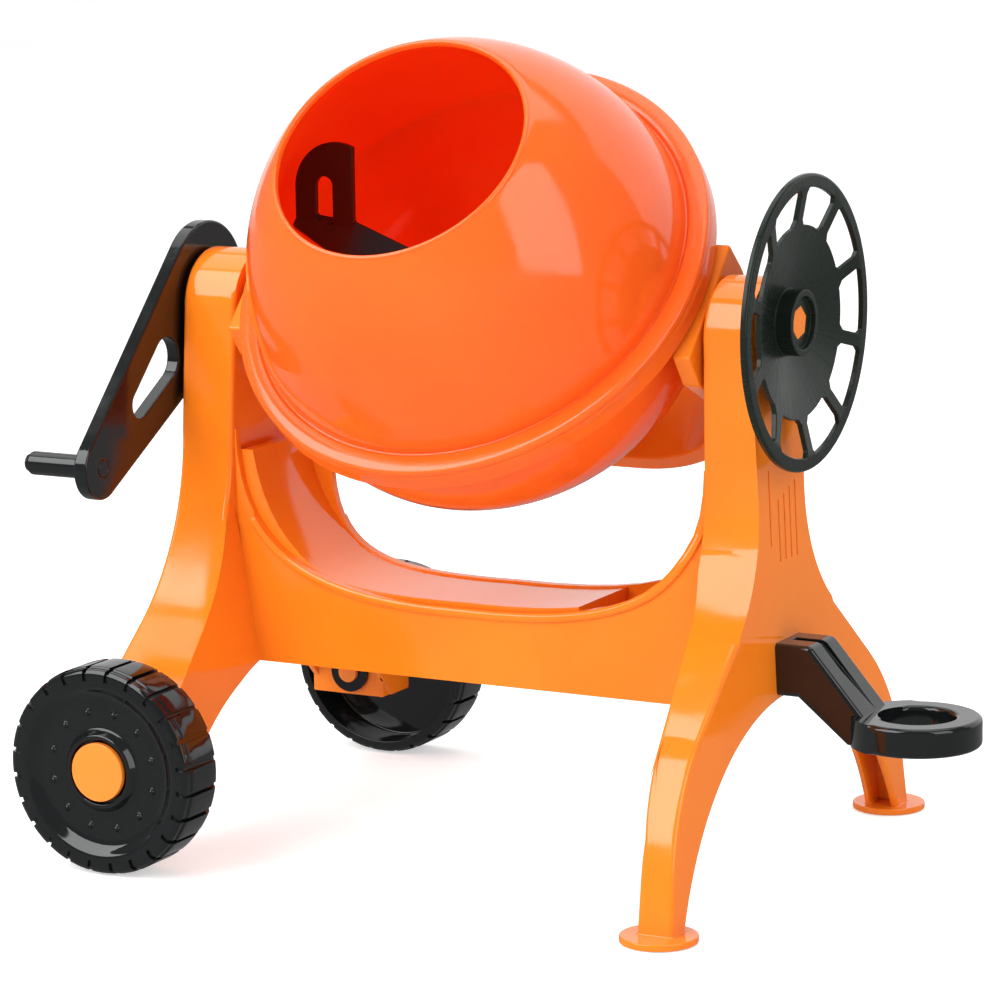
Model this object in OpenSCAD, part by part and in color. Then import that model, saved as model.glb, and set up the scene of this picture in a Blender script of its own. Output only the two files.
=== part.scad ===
// Toy concrete mixer on a wheeled stand: a tilting drum, turned by a hand crank through a crown gear.
// Millimetres, +Z up. X runs along the stand, with the crank and wheels at -X and the tow ring at +X.
// The drum empties towards -Y. The origin lies on the floor, under the middle of the whole toy.

/* [Drum] */
// Height of the tilt axis above the floor
axis_z = 248.5; // [245:0.5:252]
// Forward lean of the drum axis from upright, at rest, in degrees
lean = 47; // [40:1:50]
// Radius of the mouth at its rim
mouth_r = 60; // [58.5:0.1:61.5]
// Distance from the tilt axis to the mouth, along the drum axis
mouth_h = 116; // [113:0.1:119]
// Radius of the bead round the mouth
lip_r = 1.2; // [1:0.1:1.3]
// Radius of the dome where it meets the girth flange
dome_r = 102; // [100:0.5:103.5]
// Height of the dome's arc centre above the tilt axis, along the drum axis
dome_arc_h = 18; // [14:1:22]
// Wall of the dome and the bowl
drum_wall = 2.8; // [2.4:0.1:3]
// Height of the flange's upper face above the tilt axis, along the drum axis
flange_h = 31; // [30.8:0.1:32]
// Radius of the girth flange
flange_r = 112.8; // [111:0.1:113.5]
// Thickness of the flange on each half of the drum
flange_t = 3.5; // [3:0.1:3.6]
// Radius of the bowl
bowl_r = 102; // [100:0.1:102.2]
// Height where the bowl starts to round inwards
bowl_mid_h = 4; // [3:0.5:6]
// Radius of the bowl's rounded side, in section
bowl_side_r = 66; // [64:0.5:67]
// Depth of the bowl's bottom below the tilt axis
bowl_depth = 77.5; // [74:0.5:78]

/* [Drum drive] */
// Teeth of the crown gear under the flange, five for each pinion tooth
gear_teeth = 40; // [35:5:45]
// Thickness of a tooth of either gear
tooth_w = 5; // [4:0.1:5.2]
// Height of the crown gear's teeth
tooth_h = 4; // [3.5:0.1:4.2]
// Thickness of the crown gear's ring
gear_ring_t = 1.5; // [1.2:0.1:1.8]
// Face width of the pinion
pinion_w = 5.7; // [5:0.1:5.7]
// Radius of the crank shaft
shaft_r = 5.95; // [5.5:0.05:6.5]
// Outer radius of the sleeve that carries the crank shaft
sleeve_r = 12; // [11:0.5:13]
// Radius of the drum's spindle
spindle_r = 6; // [5:0.5:7]
// Radius of the flat boss in the middle of the bowl
boss_r = 16; // [15:0.5:18]

/* [Yoke] */
// Inner half width of the yoke between its arms
yoke_in = 107; // [106:0.1:107.4]
// Distance of the right arm's outer face from the drum axis
arm_right = 115.5; // [114.5:0.1:116]
// Distance of the left arm's outer face from the drum axis
arm_left = 120.5; // [119.5:0.1:121]
// Depth of the yoke's inner floor below the tilt axis
yoke_depth = 87; // [85:0.5:89]
// Thickness of the yoke's floor
yoke_t = 9.5; // [8.5:0.5:11]
// Radius of the yoke's rounded outer corners
yoke_corner = 70; // [60:1:74]
// Half width of the yoke under the drum
yoke_half = 22; // [20:0.5:26]
// Half width of the yoke's arms at the tilt axis
arm_half = 34; // [31:0.5:37]
// Top of the yoke's arms above the tilt axis
arm_top = 17; // [16:0.1:17.2]
// Radius of the tilt axle in the right tower
axle_r = 10; // [9:0.5:11]
// Circumradius of the hexagon at the tilt axle's end
hex_r = 7.5; // [7:0.1:8]
// Distance of the hexagon's end from the drum axis
hex_end = 152; // [151:0.5:153]

/* [Tilt wheel] */
// Radius of the tilt wheel
tilt_wheel_r = 65.6; // [64.6:0.2:66.6]
// Distance of the tilt wheel's rim face from the drum axis
tilt_wheel_x = 156.5; // [156:0.1:158]
// Width of the tilt wheel's rim along its axle
tilt_rim_w = 3; // [2.6:0.1:4]
// How far the tilt wheel's web is dished inwards at the hub
tilt_dish = 11; // [9:0.5:11.5]
// Radius of the tilt wheel's hub
tilt_hub_r = 14.7; // [13.5:0.1:15.5]
// Windows round the tilt wheel
tilt_windows = 10; // [8:1:12]
// Inner radius of the windows
window_in_r = 43; // [41:0.5:45]
// Outer radius of the windows
window_out_r = 59.5; // [58:0.5:60.5]
// Thickness of the tilt wheel's web
tilt_web_t = 2.5; // [2:0.1:3]
// Angle of the first spoke about the tilt axis, in degrees
spoke_turn = 28; // [0:0.1:35]
// Width of the spokes between the windows
spoke_w = 6; // [4:0.5:7]

/* [Crank] */
// Distance of the crank's inner face from the drum axis
crank_in = 152; // [151.8:0.1:153]
// Thickness of the crank
crank_t = 7; // [6:0.5:8]
// Length of the crank from the shaft to the peg
crank_l = 118; // [112:1:120]
// Radius of the crank's wide end
crank_r = 31.5; // [30:0.5:33]
// Radius of the crank's narrow end
crank_tip_r = 14.5; // [13:0.5:15]
// Angle of the crank at rest, forwards from straight down
crank_angle = 52.5; // [40:0.5:60]
// Radius of the hand peg
peg_r = 5.5; // [5:0.1:6]
// Length of the hand peg
peg_l = 34; // [30:1:38]

/* [Towers] */
// Distance of the right tower's inner face from the drum axis
right_in = 117; // [116.5:0.1:117.5]
// Distance of the left tower's inner face from the drum axis
left_in = 122.5; // [122:0.1:123]
// Distance of the left tower's outer face from the drum axis
left_out = 150.5; // [149.5:0.1:151]
// Distance of the right tower's outer face from the drum axis, at its top
right_out_top = 139; // [138.6:0.1:140.5]
// Distance of the right tower's outer face from the drum axis, at the floor
right_out_foot = 151; // [150.5:0.5:153]
// Radius of the round top of each tower
top_r = 26; // [25.5:0.5:28]
// How far the centre of the round top lies below the tilt axis
top_drop = 6.5; // [4.5:0.5:7.5]
// Half width of the right tower's neck
right_neck = 24.5; // [24:0.1:25.5]
// Half width of the left tower's neck
left_neck = 30.3; // [29:0.1:31]
// Radius of the hollow flare between neck and leg
flare_r = 70; // [67:1:73]
// Height where the flare starts
flare_z = 170.5; // [168:0.5:173]
// Angle of the legs below the flare, from upright
leg_angle = 51; // [50:0.5:52]
// Straight run of each leg between flare and hip
leg_run = 54; // [52:0.5:56]
// Radius of the hip bend of each leg
hip_r = 92; // [89:1:95]
// Spread of the foot from upright, below the hip
foot_angle = 8.5; // [7:0.5:10]
// Radius of the arch between the legs
arch_r = 123; // [121:0.5:124]
// Height of the arch
arch_top = 81.3; // [79.5:0.1:81.8]
// Wall of the towers
tower_wall = 3; // [2.5:0.1:3.2]
// Radius of the round foot plates
foot_r = 17; // [15.5:0.5:18]
// Thickness of the foot plates
foot_t = 3; // [2.5:0.5:4]

/* [Trough] */
// Half width of the trough over its side panels
panel_y = 28; // [27:0.5:28.5]
// Thickness of the side panels
panel_t = 3.5; // [3:0.1:4]
// Height of the panels' lower edge
panel_low = 78; // [76.5:0.5:78.5]
// Height of the front panel's rim in the middle of the trough
front_rim_z = 112.5; // [110:0.5:113.5]
// Height of the rear panel's rim in the middle of the trough
rear_rim_z = 115.3; // [114:0.1:117]
// Height of the rims at the towers
rim_high = 187; // [180:1:190]
// Height and reach of the bead along the rim
rim_bead = 4; // [3:0.5:5]
// Width of the rear panel's post at the left tower
rear_post = 20.5; // [18:0.5:22]
// Height of the rear panel's post at the left tower
rear_post_z = 172; // [168:0.5:174]
// Step from the rear rim down to the deck
deck_drop = 0.8; // [0.5:0.1:1.5]
// Thickness of the deck
deck_t = 3; // [2.5:0.1:4]
// Height of the deck's sloped end at the left tower
slope_top = 177; // [172:0.5:178]
// Height of the floor of the pocket at the right end
pocket_z = 97; // [96:0.5:100]

/* [Wheels] */
// Distance of the wheel axles from the drum axis along X
wheel_x = 129; // [127:0.5:131]
// Radius of the wheels over their tread
wheel_r = 47.7; // [47:0.1:48.5]
// Distance of the wheels' inner face from the middle of the stand
wheel_in = 113.5; // [113:0.5:115]
// Width of the wheels
wheel_w = 26.8; // [25:0.1:28]
// Height of the tread slats
tread_h = 2.4; // [2:0.1:2.6]
// Slats round each wheel
slats = 24; // [20:1:28]
// Radius of the wheel pins
pin_r = 5; // [4.5:0.1:5.5]
// Radius of the wheel pins' heads
cap_r = 13.4; // [12.5:0.1:14]
// Underside of the axle blocks above the floor
block_z = 36; // [35:0.5:38]

/* [Tow hitch] */
// Distance of the tow ring's centre from the drum axis
ring_x = 208; // [205:1:211]
// Outer radius of the tow ring
ring_r = 28.9; // [28:0.1:30]
// Radius of the hole in the tow ring
ring_hole_r = 17.1; // [16:0.1:18]
// Height of the tow ring's upper face
ring_top = 78; // [76:0.5:80]
// Thickness of the tow ring
ring_t = 13.2; // [12:0.1:15]
// Half width of the hitch arm
hitch_half = 14; // [13:0.5:15]
// Upper edge of the hitch where it meets the tower
hitch_high = 107; // [106:0.5:109]
// Lower edge of the hitch where it meets the tower
hitch_low = 83.5; // [83:0.5:84.5]

/* [Fits] */
// Radial play of a running shaft or axle
run_fit = 0.05; // [0.03:0.01:0.08]
// Play at each side of a plugged or screwed part
plug_fit = 0.15; // [0.1:0.05:0.25]
// Gap left beside a turning part
side_gap = 0.5; // [0.4:0.1:0.6]

/* [Hidden] */
$fn = 96;
far = 400;
frame_orange = [1, 0.54, 0.13];
drum_orange = [1, 0.38, 0.09];
gloss_black = [0.07, 0.08, 0.08];
blade_brown = [0.2, 0.07, 0.05];
zinc_grey = [0.7, 0.71, 0.72];

// Middle of the toy along X, so that the origin lies under it
mid_x = (ring_x + ring_r - crank_in - crank_t - peg_l) / 2;
trough_mid = (right_in - left_in) / 2;

// Drum profile: one arc for the dome, two tangent arcs for the bowl
dome_arc_x = ((mouth_h - dome_arc_h) ^ 2 - (flange_h - dome_arc_h) ^ 2 - dome_r ^ 2 + mouth_r ^ 2)
  / (2 * (dome_r - mouth_r));
dome_arc_r = norm([dome_r + dome_arc_x, flange_h - dome_arc_h]);
bowl_side_x = bowl_r - bowl_side_r;
bowl_drop = bowl_mid_h + bowl_depth;
bowl_arc_r = (bowl_side_x ^ 2 + bowl_drop ^ 2 - bowl_side_r ^ 2) / (2 * (bowl_drop - bowl_side_r));
bowl_arc_h = bowl_arc_r - bowl_depth;
split_h = flange_h - flange_t;
gear_top = split_h - flange_t;
gear_root = gear_top - gear_ring_t;
gear_tip = gear_root - tooth_h;
gear_skirt = gear_tip - 0.3;
boss_low = -bowl_depth - 2;
boss_high = boss_low + 8;
yoke_floor = -yoke_depth;
yoke_under = yoke_floor - yoke_t - 5;

// Crown gear and pinion
gear_in_r = bowl_r + 1.1;
gear_out_r = flange_r - 1;
pinion_teeth = gear_teeth / 5;
gear_play = 0.8;
pinion_tip_r = gear_root - gear_play;
pinion_root_r = gear_tip - gear_play - 0.5;
pinion_seat = yoke_in + 2.5;
pinion_out = pinion_seat - 1;

// Towers
top_z = axis_z - top_drop;
pivot_boss_r = 18;
arc_lap = 0.05;
leg_in = 128.2;
leg_in_z = 86;
leg_in_foot = 134;
leg_knee_z = 42;
leg_taper_z = 140;
core_z = 150;
core_depth = 15;
left_flare_r = flare_r + 40;
left_flare_z = flare_z + 15.5;
left_arch_r = arch_r - 5;
left_leg_in = 110;
left_leg_z = 72;
left_knee_in = 116;
left_knee_z = 106;
foot_x = (leg_in_foot + right_out_foot) / 2;
foot_y = 124.3;
draft = atan((right_out_foot - right_out_top) / (top_z + top_r));
function right_out(z) = right_out_foot - z * tan(draft);
hub_x = right_out(axis_z - tilt_hub_r) + side_gap;

// Wheels
leg_side = wheel_in - 3;
block_out = wheel_in - 2;
block_in = 86;
block_high = block_z + 28;
hub_in = block_out + side_gap - wheel_in;
hub_out = wheel_w - 3;
cap_t = 3.2;

// Chassis screws, two at each tower
screw_r = 1.6;
screw_head_r = 3.2;
screw_l = 13;
screw_y = 12;
right_screw_z = 87;
left_screw_z = 112;

// Trough rims: a curve on each side from the middle of the trough to a tower
rim_edge = 0.6;
rim_run = [80, 92];
rim_knee = [130, 133];
rear_knee = 122;
rim_steps = 14;
bead_end = 0.72;
deck_left_t = 0.6;
deck_right_t = 0.25;
slope_x = 115;
slope_turn = [-110, 146];
function bezier(a, b, c, d, t) =
  (1 - t) ^ 3 * a + 3 * t * (1 - t) ^ 2 * b + 3 * t ^ 2 * (1 - t) * c + t ^ 3 * d;
function at_side(pair, side) = pair[side < 0 ? 0 : 1];
function is_post(rear, side) = rear && side < 0;
function rim_reach(rear, side) =
  side * ((right_in + left_in) / 2 - (is_post(rear, side) ? rear_post : rim_edge));
function rim_z(rear) = rear ? rear_rim_z : front_rim_z;
function rim(rear, side, t, low = 0) = [
  trough_mid + bezier(0, side * at_side(rim_run, side), rim_reach(rear, side), rim_reach(rear, side), t),
  bezier(rim_z(rear), rim_z(rear) - 1.5, is_post(rear, side) ? rear_knee : at_side(rim_knee, side),
    is_post(rear, side) ? rear_post_z : rim_high, t) - low];
function rim_slope(rear, side, t) = rim(rear, side, t + 0.01) - rim(rear, side, t - 0.01);
function rim_inside(rear, side, t) = rim(rear, side, t) + rim_bead * side
  * [rim_slope(rear, side, t).y, -rim_slope(rear, side, t).x] / norm(rim_slope(rear, side, t));
function rim_line(rear, left_t, right_t) = concat(
  [for (i = [rim_steps : -1 : 1]) rim(rear, -1, left_t * i / rim_steps)],
  [for (i = [0 : rim_steps]) rim(rear, 1, right_t * i / rim_steps)]);
function bead_line(rear, left_t, right_t) = concat(
  [for (i = [rim_steps : -1 : 0]) rim_inside(rear, 1, right_t * i / rim_steps)],
  [for (i = [1 : rim_steps]) rim_inside(rear, -1, left_t * i / rim_steps)]);

// Tow hitch
hitch_bend = 163;
plug_half = 11;
plug_low = hitch_low + 4;
plug_high = hitch_high - 5;
plug_in = 130;
hitch_pin_r = 2.5;
hitch_pin_x = right_out((plug_low + plug_high) / 2) - tower_wall - hitch_pin_r - plug_fit;

// Paddle in the drum: a blade that stands upright at rest, on the foot of an arm from the spindle
paddle_h = 55;
post_h = 38;
post_r = 8;
arm_t = 3;
blade_x = -64.3;
blade_v = 1.2;
blade_half = 15;
blade_l = 37;
blade_t = 3;
blade_root = 2;
shoulder_r = 21;
slot_r = 4.4;
slot_l = 17;
arm_near = -blade_x - blade_half;
arm_far = -blade_x + blade_half;
arm_wide = 30;
foot_rise = 2.6;
blade_rise = foot_rise / cos(lean);

// Local frames
module on_floor() { translate([-mid_x, 0, 0]) children(); }
module in_drum() { translate([0, 0, axis_z]) rotate([lean, 0, 0]) children(); }
module on_axis(x) { translate([x, 0, axis_z]) rotate([0, 90, 0]) children(); }
module along_x(x, l) { translate([x, 0, 0]) rotate([90, 0, 90]) linear_extrude(l) children(); }
module across_y(half) { rotate([90, 0, 0]) translate([0, 0, -half]) linear_extrude(2 * half) children(); }
module both_sides() { for (s = [0, 1]) mirror([0, s, 0]) children(); }
module tube(r_out, r_in, h) {
  difference() {
    cylinder(r = r_out, h = h);
    translate([0, 0, -1]) cylinder(r = r_in, h = h + 2);
  }
}
module ring_2d(r_out, r_in) { difference() { circle(r_out); circle(r_in); } }

// Outline of a tower seen along X: round top, neck, hollow flare, straight leg and rounded hip
module a_frame(neck, flare, start_z, inset = 0) {
  reach = [cos(leg_angle), sin(leg_angle)];
  flare_c = [neck + flare, start_z];
  flare_end = flare_c - (flare + inset - arc_lap) * reach;
  run = leg_run * [sin(leg_angle), -cos(leg_angle)];
  hip_c = flare_c - (flare + hip_r) * reach + run;
  hip_end = hip_c + (hip_r - inset) * [cos(foot_angle), sin(foot_angle)];
  foot = [hip_end.x + hip_end.y * tan(foot_angle), 0];
  difference() {
    union() {
      translate([0, top_z]) circle(top_r - inset);
      for (s = [0, 1]) mirror([s, 0]) {
        polygon([[0, top_z], [top_r - inset, top_z], [neck - inset, start_z], flare_end,
          flare_end + run, hip_end, foot, [0, 0]]);
        translate(hip_c) circle(hip_r - inset);
      }
    }
    for (s = [0, 1]) mirror([s, 0]) translate(flare_c) circle(flare + inset);
    translate([-far, -far]) square([2 * far, far]);
  }
}

module arch(r) { along_x(0, far) translate([0, arch_top - r]) circle(r); }

// Thickness of the right tower seen along Y: drafted outside, legs thinner than the neck
module right_side(inset = 0) {
  across_y(far) polygon([
    [right_in + inset, far], [right_out(far) - inset, far], [right_out(0) - inset, 0],
    [leg_in_foot + inset, 0], [leg_in_foot + inset, leg_knee_z], [leg_in + inset, leg_in_z],
    [right_in + inset, leg_taper_z]]);
}

module right_body(inset = 0) {
  intersection() {
    along_x(0, far) a_frame(right_neck, flare_r, flare_z, inset);
    right_side(inset);
  }
}

module right_core(inset = 0) {
  translate([right_in + inset, -panel_y + inset, arch_top - 4 * inset])
    cube([core_depth + inset, 2 * (panel_y - inset), core_z - arch_top + 4 * inset]);
}

module vent(y, low, high) {
  mid = (low + high) / 2;
  translate([right_out(mid), y, mid]) rotate([0, -draft, 0]) cube([2, 1.2, high - low], center = true);
}

module right_tower() {
  color(frame_orange) difference() {
    union() {
      difference() {
        union() {
          difference() { right_body(); arch(arch_r); }
          right_core();
        }
        right_body(tower_wall);
        right_core(tower_wall);
      }
      intersection() {
        on_axis(0) cylinder(r = pivot_boss_r, h = far);
        right_side();
      }
      both_sides() translate([foot_x, foot_y, 0]) cylinder(r = foot_r, h = foot_t);
    }
    on_axis(0) cylinder(r = axle_r + run_fit, h = far);
    translate([right_out_foot - 20, -plug_half - plug_fit, plug_low - plug_fit])
      cube([40, 2 * (plug_half + plug_fit), plug_high - plug_low + 2 * plug_fit]);
    both_sides() translate([right_in - 1, screw_y, right_screw_z]) rotate([0, 90, 0])
      cylinder(r = screw_r + plug_fit, h = tower_wall + 2);
    for (i = [0 : 3]) vent(-4 + 6 * i, 142, 170 + 2 * i);
    vent(-13, 150, 184);
  }
}

// Thickness of the left tower, measured outwards from the drum: the legs widen towards the wheels
module left_side(inset = 0) {
  across_y(far) polygon([
    [left_in + inset, far], [left_out - inset, far], [left_out - inset, block_z],
    [left_leg_in + inset, block_z], [left_leg_in + inset, left_leg_z],
    [left_knee_in + inset, left_knee_z], [left_in + inset, core_z]]);
}

module left_body(inset = 0) {
  intersection() {
    along_x(0, far) a_frame(left_neck, left_flare_r, left_flare_z, inset);
    left_side(inset);
    translate([0, -leg_side + inset, 0]) cube([far, 2 * (leg_side - inset), far]);
  }
}

module left_recess(inset = 0) {
  translate([0, -panel_y - inset, arch_top - 20])
    cube([left_in + inset, 2 * (panel_y + inset), core_z - arch_top + 30]);
}

module left_tower() {
  color(frame_orange) mirror([1, 0, 0]) difference() {
    union() {
      difference() {
        left_body();
        arch(left_arch_r);
        left_recess();
        difference() { left_body(tower_wall); left_recess(tower_wall); }
      }
      intersection() {
        on_axis(0) cylinder(r = pivot_boss_r, h = far);
        left_side();
      }
      both_sides() translate([left_leg_in + 1, block_in, block_z])
        cube([left_out - left_leg_in - 1, block_out - block_in, block_high - block_z]);
    }
    on_axis(0) cylinder(r = sleeve_r + run_fit, h = far);
    both_sides() translate([wheel_x, 0, wheel_r]) rotate([-90, 0, 0]) cylinder(r = pin_r, h = far);
    both_sides() translate([left_in - 1, screw_y, left_screw_z]) rotate([0, 90, 0])
      cylinder(r = screw_r + plug_fit, h = tower_wall + 2);
  }
}

// Front side panel of the trough, with a bead along its hollow upper edge
module panel(rear) {
  translate([0, panel_t / 2 - panel_y, 0]) across_y(panel_t / 2)
    polygon(concat(rim_line(rear, 1, 1), [[right_in, rim_high], [right_in, panel_low],
      [-left_in, panel_low], [-left_in, rear ? rear_post_z : rim_high]]));
  translate([0, panel_t / 2 - panel_y - 0.6, 0]) across_y(panel_t / 2 + 0.6) intersection() {
    polygon(concat(rim_line(rear, bead_end, 0.98), bead_line(rear, bead_end, 0.98)));
    translate([-left_in, 0]) square([left_in + right_in, far]);
  }
}

module front_panel() { color(frame_orange) panel(false); }
module rear_panel() { color(frame_orange) mirror([0, 1, 0]) panel(true); }

// Deck between the panels: rising to the left tower behind a crease, with a sunk pocket at the right
module deck() {
  steps = 10;
  crease = rim(true, -1, deck_left_t, deck_drop);
  slope = [for (i = [0 : 5]) let (t = i / 6)
    (1 - t) ^ 2 * [-slope_x, slope_top] + 2 * t * (1 - t) * slope_turn + t ^ 2 * crease];
  left = [for (i = [steps : -1 : 1]) rim(true, -1, deck_left_t * i / steps, deck_drop)];
  right = [for (i = [0 : steps]) rim(true, 1, deck_right_t * i / steps, deck_drop)];
  top = concat(slope, left, right);
  lip = top[len(top) - 1];
  under = [for (i = [len(top) - 2 : -1 : len(slope)]) top[i] - [0, deck_t]];
  color(frame_orange) difference() {
    union() {
      across_y(panel_y - panel_t) polygon(concat(
        [[-left_in, slope_top]], top,
        [[lip.x, pocket_z], [right_in, pocket_z], [right_in, pocket_z - deck_t],
          [lip.x - deck_t, pocket_z - deck_t]],
        under, [[-slope_x, left_screw_z + 20], [-left_in, left_screw_z + 20]]));
      both_sides() translate([right_in - 14, screw_y - 6, panel_low + 1])
        cube([14, 12, pocket_z - panel_low - 2]);
      both_sides() translate([-left_in, screw_y - 6, left_screw_z - 8]) cube([14, 12, 30]);
    }
    both_sides() translate([right_in - 12, screw_y, right_screw_z]) rotate([0, 90, 0])
      cylinder(r = screw_r, h = 20);
    both_sides() translate([12 - left_in, screw_y, left_screw_z]) rotate([0, -90, 0])
      cylinder(r = screw_r, h = 20);
  }
}

module screw() {
  cylinder(r = screw_head_r, h = 2.4);
  translate([0, 0, -screw_l]) cylinder(r = screw_r, h = screw_l + 1);
}

module chassis_screws() {
  color(zinc_grey) both_sides() {
    translate([right_in + tower_wall, screw_y, right_screw_z]) rotate([0, 90, 0]) screw();
    translate([-left_in - tower_wall, screw_y, left_screw_z]) rotate([0, -90, 0]) screw();
  }
}

// Tow hitch: a plug in the tower's end, a bent arm with a grooved top, and a flat ring
module tow_hitch() {
  ring_low = ring_top - ring_t;
  ring_near = ring_x - 20;
  color(gloss_black) difference() {
    union() {
      across_y(hitch_half) polygon([
        [right_out(hitch_low), hitch_low], [right_out(hitch_high), hitch_high],
        [hitch_bend, hitch_high], [ring_near, ring_top], [ring_near, ring_low],
        [ring_near - 8, ring_low], [hitch_bend - 6, hitch_low]]);
      translate([plug_in, -plug_half, plug_low])
        cube([hitch_bend - plug_in - 10, 2 * plug_half, plug_high - plug_low]);
      translate([ring_x, 0, ring_low]) cylinder(r = ring_r, h = ring_t);
    }
    translate([ring_x, 0, ring_low - 1]) cylinder(r = ring_hole_r, h = ring_t + 2);
    across_y(2.5) polygon([
      [right_out(hitch_high) + 3, hitch_high - 2], [right_out(hitch_high) + 3, hitch_high + 1],
      [hitch_bend + 1, hitch_high + 1], [ring_near + 3, ring_top], [ring_near, ring_top],
      [hitch_bend - 1.2, hitch_high - 2]]);
    translate([hitch_pin_x, 0, (plug_low + plug_high) / 2]) rotate([90, 0, 0])
      cylinder(r = hitch_pin_r, h = far, center = true);
  }
}

module hitch_pin() {
  color(zinc_grey) translate([hitch_pin_x, 0, (plug_low + plug_high) / 2]) rotate([90, 0, 0])
    cylinder(r = hitch_pin_r, h = 2 * plug_half + 10, center = true);
}

// Road wheel about +Z, open on its inner side, outer face up
module wheel() {
  tyre_r = wheel_r - tread_h;
  rim_r = tyre_r - 6.5;
  web_low = wheel_w - 7;
  web_high = web_low + 3;
  step_r = wheel_r - 0.9;
  pitch = 360 / slats;
  slat_w = 10.4;
  rotate_extrude() polygon([
    [pin_r + run_fit, hub_in], [2 * pin_r, hub_in], [2 * pin_r, web_low], [tyre_r - 3.5, web_low],
    [tyre_r - 3.5, 0], [tyre_r, 0], [tyre_r, wheel_w], [rim_r, wheel_w],
    [rim_r - 4.5, web_high], [2 * pin_r, web_high], [2 * pin_r, hub_out], [pin_r + run_fit, hub_out]]);
  intersection() {
    rotate_extrude() polygon([
      [tyre_r - 1, 1], [step_r, 1], [step_r, 4], [wheel_r, 4], [wheel_r, wheel_w - 4],
      [step_r, wheel_w - 4], [step_r, wheel_w - 1], [tyre_r - 1, wheel_w - 1]]);
    for (i = [0 : slats - 1]) rotate(i * pitch) translate([tyre_r - 2, -slat_w / 2, 0])
      cube([tread_h + 4, slat_w, wheel_w]);
  }
  for (i = [0 : 11]) rotate(30 * i + 15) translate([27, 0, web_high]) sphere(r = 1.5);
}

module at_front_wheel() { translate([-wheel_x, -wheel_in, wheel_r]) rotate([90, 0, 0]) children(); }
module front_wheel() { color(gloss_black) at_front_wheel() wheel(); }
module rear_wheel() { color(gloss_black) mirror([0, 1, 0]) at_front_wheel() wheel(); }

// Wheel pin: an orange head outside the wheel, and a shank held in the axle block
module wheel_pin() {
  translate([0, 0, hub_out + side_gap]) cylinder(r = cap_r, h = cap_t);
  translate([0, 0, block_in - wheel_in - 4])
    cylinder(r = pin_r, h = hub_out + side_gap + wheel_in - block_in + 5);
}

module front_wheel_pin() { color(frame_orange) at_front_wheel() wheel_pin(); }
module rear_wheel_pin() { color(frame_orange) mirror([0, 1, 0]) at_front_wheel() wheel_pin(); }

module wheel_clips() {
  color(zinc_grey) both_sides() at_front_wheel() translate([0, 0, block_in - wheel_in - 2])
    tube(2 * pin_r, pin_r, 2);
}

// Yoke: a U under the bowl, whose two arms tilt on the axle and the sleeve
module u_plate(left, right, low, corner) {
  translate([-left, low + corner]) square([left + right, far]);
  translate([corner - left, low]) square([left + right - 2 * corner, far]);
  translate([corner - left, low + corner]) circle(corner);
  translate([right - corner, low + corner]) circle(corner);
}

module yoke_bow() {
  intersection() {
    across_y(far) difference() {
      u_plate(arm_left, arm_right, yoke_floor - yoke_t, yoke_corner);
      u_plate(yoke_in, yoke_in, yoke_floor, yoke_corner - yoke_t);
    }
    along_x(-far, 2 * far) polygon([
      [-arm_half, arm_top], [arm_half - 6, arm_top], [arm_half - 6, 0], [yoke_half, -45], [yoke_half, -far],
      [-yoke_half, -far], [-yoke_half, -45], [-arm_half - 3, 0]]);
  }
}

module yoke() {
  color(frame_orange) in_drum() difference() {
    union() {
      yoke_bow();
      translate([0, 0, yoke_under]) cylinder(r = boss_r, h = yoke_floor - yoke_under + 0.2);
    }
    translate([0, 0, -far]) cylinder(r = spindle_r + run_fit, h = far);
    rotate([0, 90, 0]) cylinder(r = axle_r, h = far);
    rotate([0, -90, 0]) cylinder(r = sleeve_r, h = far);
    rotate([0, -90, 0]) cylinder(r = pinion_tip_r + 1, h = pinion_seat);
  }
}

module tilt_axle() {
  color(frame_orange) {
    on_axis(yoke_in) cylinder(r = axle_r, h = hub_x - yoke_in);
    in_drum() translate([hub_x - 1, 0, 0]) rotate([0, 90, 0])
      cylinder(r = hex_r, h = hex_end - hub_x + 1, $fn = 6);
  }
}

// Tilt wheel: a dished web with windows, on the axle's hexagon
module tilt_wheel() {
  rim_out = tilt_wheel_x - hub_x;
  rim_in = rim_out - tilt_rim_w;
  web_in = rim_out - tilt_web_t;
  rim_in_r = tilt_wheel_r - 2.2;
  color(gloss_black) in_drum() translate([hub_x, 0, 0]) rotate([0, 90, 0]) difference() {
    union() {
      cylinder(r = tilt_hub_r, h = rim_out - 2);
      rotate_extrude() polygon([
        [hex_r + 2, web_in - tilt_dish], [window_out_r, web_in], [rim_in_r, web_in],
        [rim_in_r, rim_in], [tilt_wheel_r, rim_in], [tilt_wheel_r, rim_out - 0.8],
        [tilt_wheel_r - 0.8, rim_out], [window_out_r, rim_out], [hex_r + 2, rim_out - tilt_dish]]);
    }
    translate([0, 0, -1]) linear_extrude(far) difference() {
      ring_2d(window_out_r, window_in_r);
      for (i = [0 : tilt_windows - 1]) rotate(360 / tilt_windows * i + spoke_turn)
        polygon([for (p = [[window_in_r - 2, 3.5], [window_in_r + 2.5, 0], [window_out_r - 2.5, 0],
          [window_out_r + 2, 3.5]], s = [-1, 1]) [p.x, s * (p.y + spoke_w / 2)]],
          [[0, 2, 4, 6, 7, 5, 3, 1]]);
    }
    translate([0, 0, -1]) cylinder(r = hex_r, h = far, $fn = 6);
    translate([0, 0, hex_end - hub_x]) cylinder(r = tilt_hub_r - 3, h = far);
  }
}

// Sleeve of the left arm: turns in the left tower and carries the crank shaft
module crank_sleeve() {
  color(frame_orange) on_axis(-left_out - side_gap)
    tube(sleeve_r, shaft_r + run_fit, left_out + side_gap - pinion_seat);
}

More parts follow.
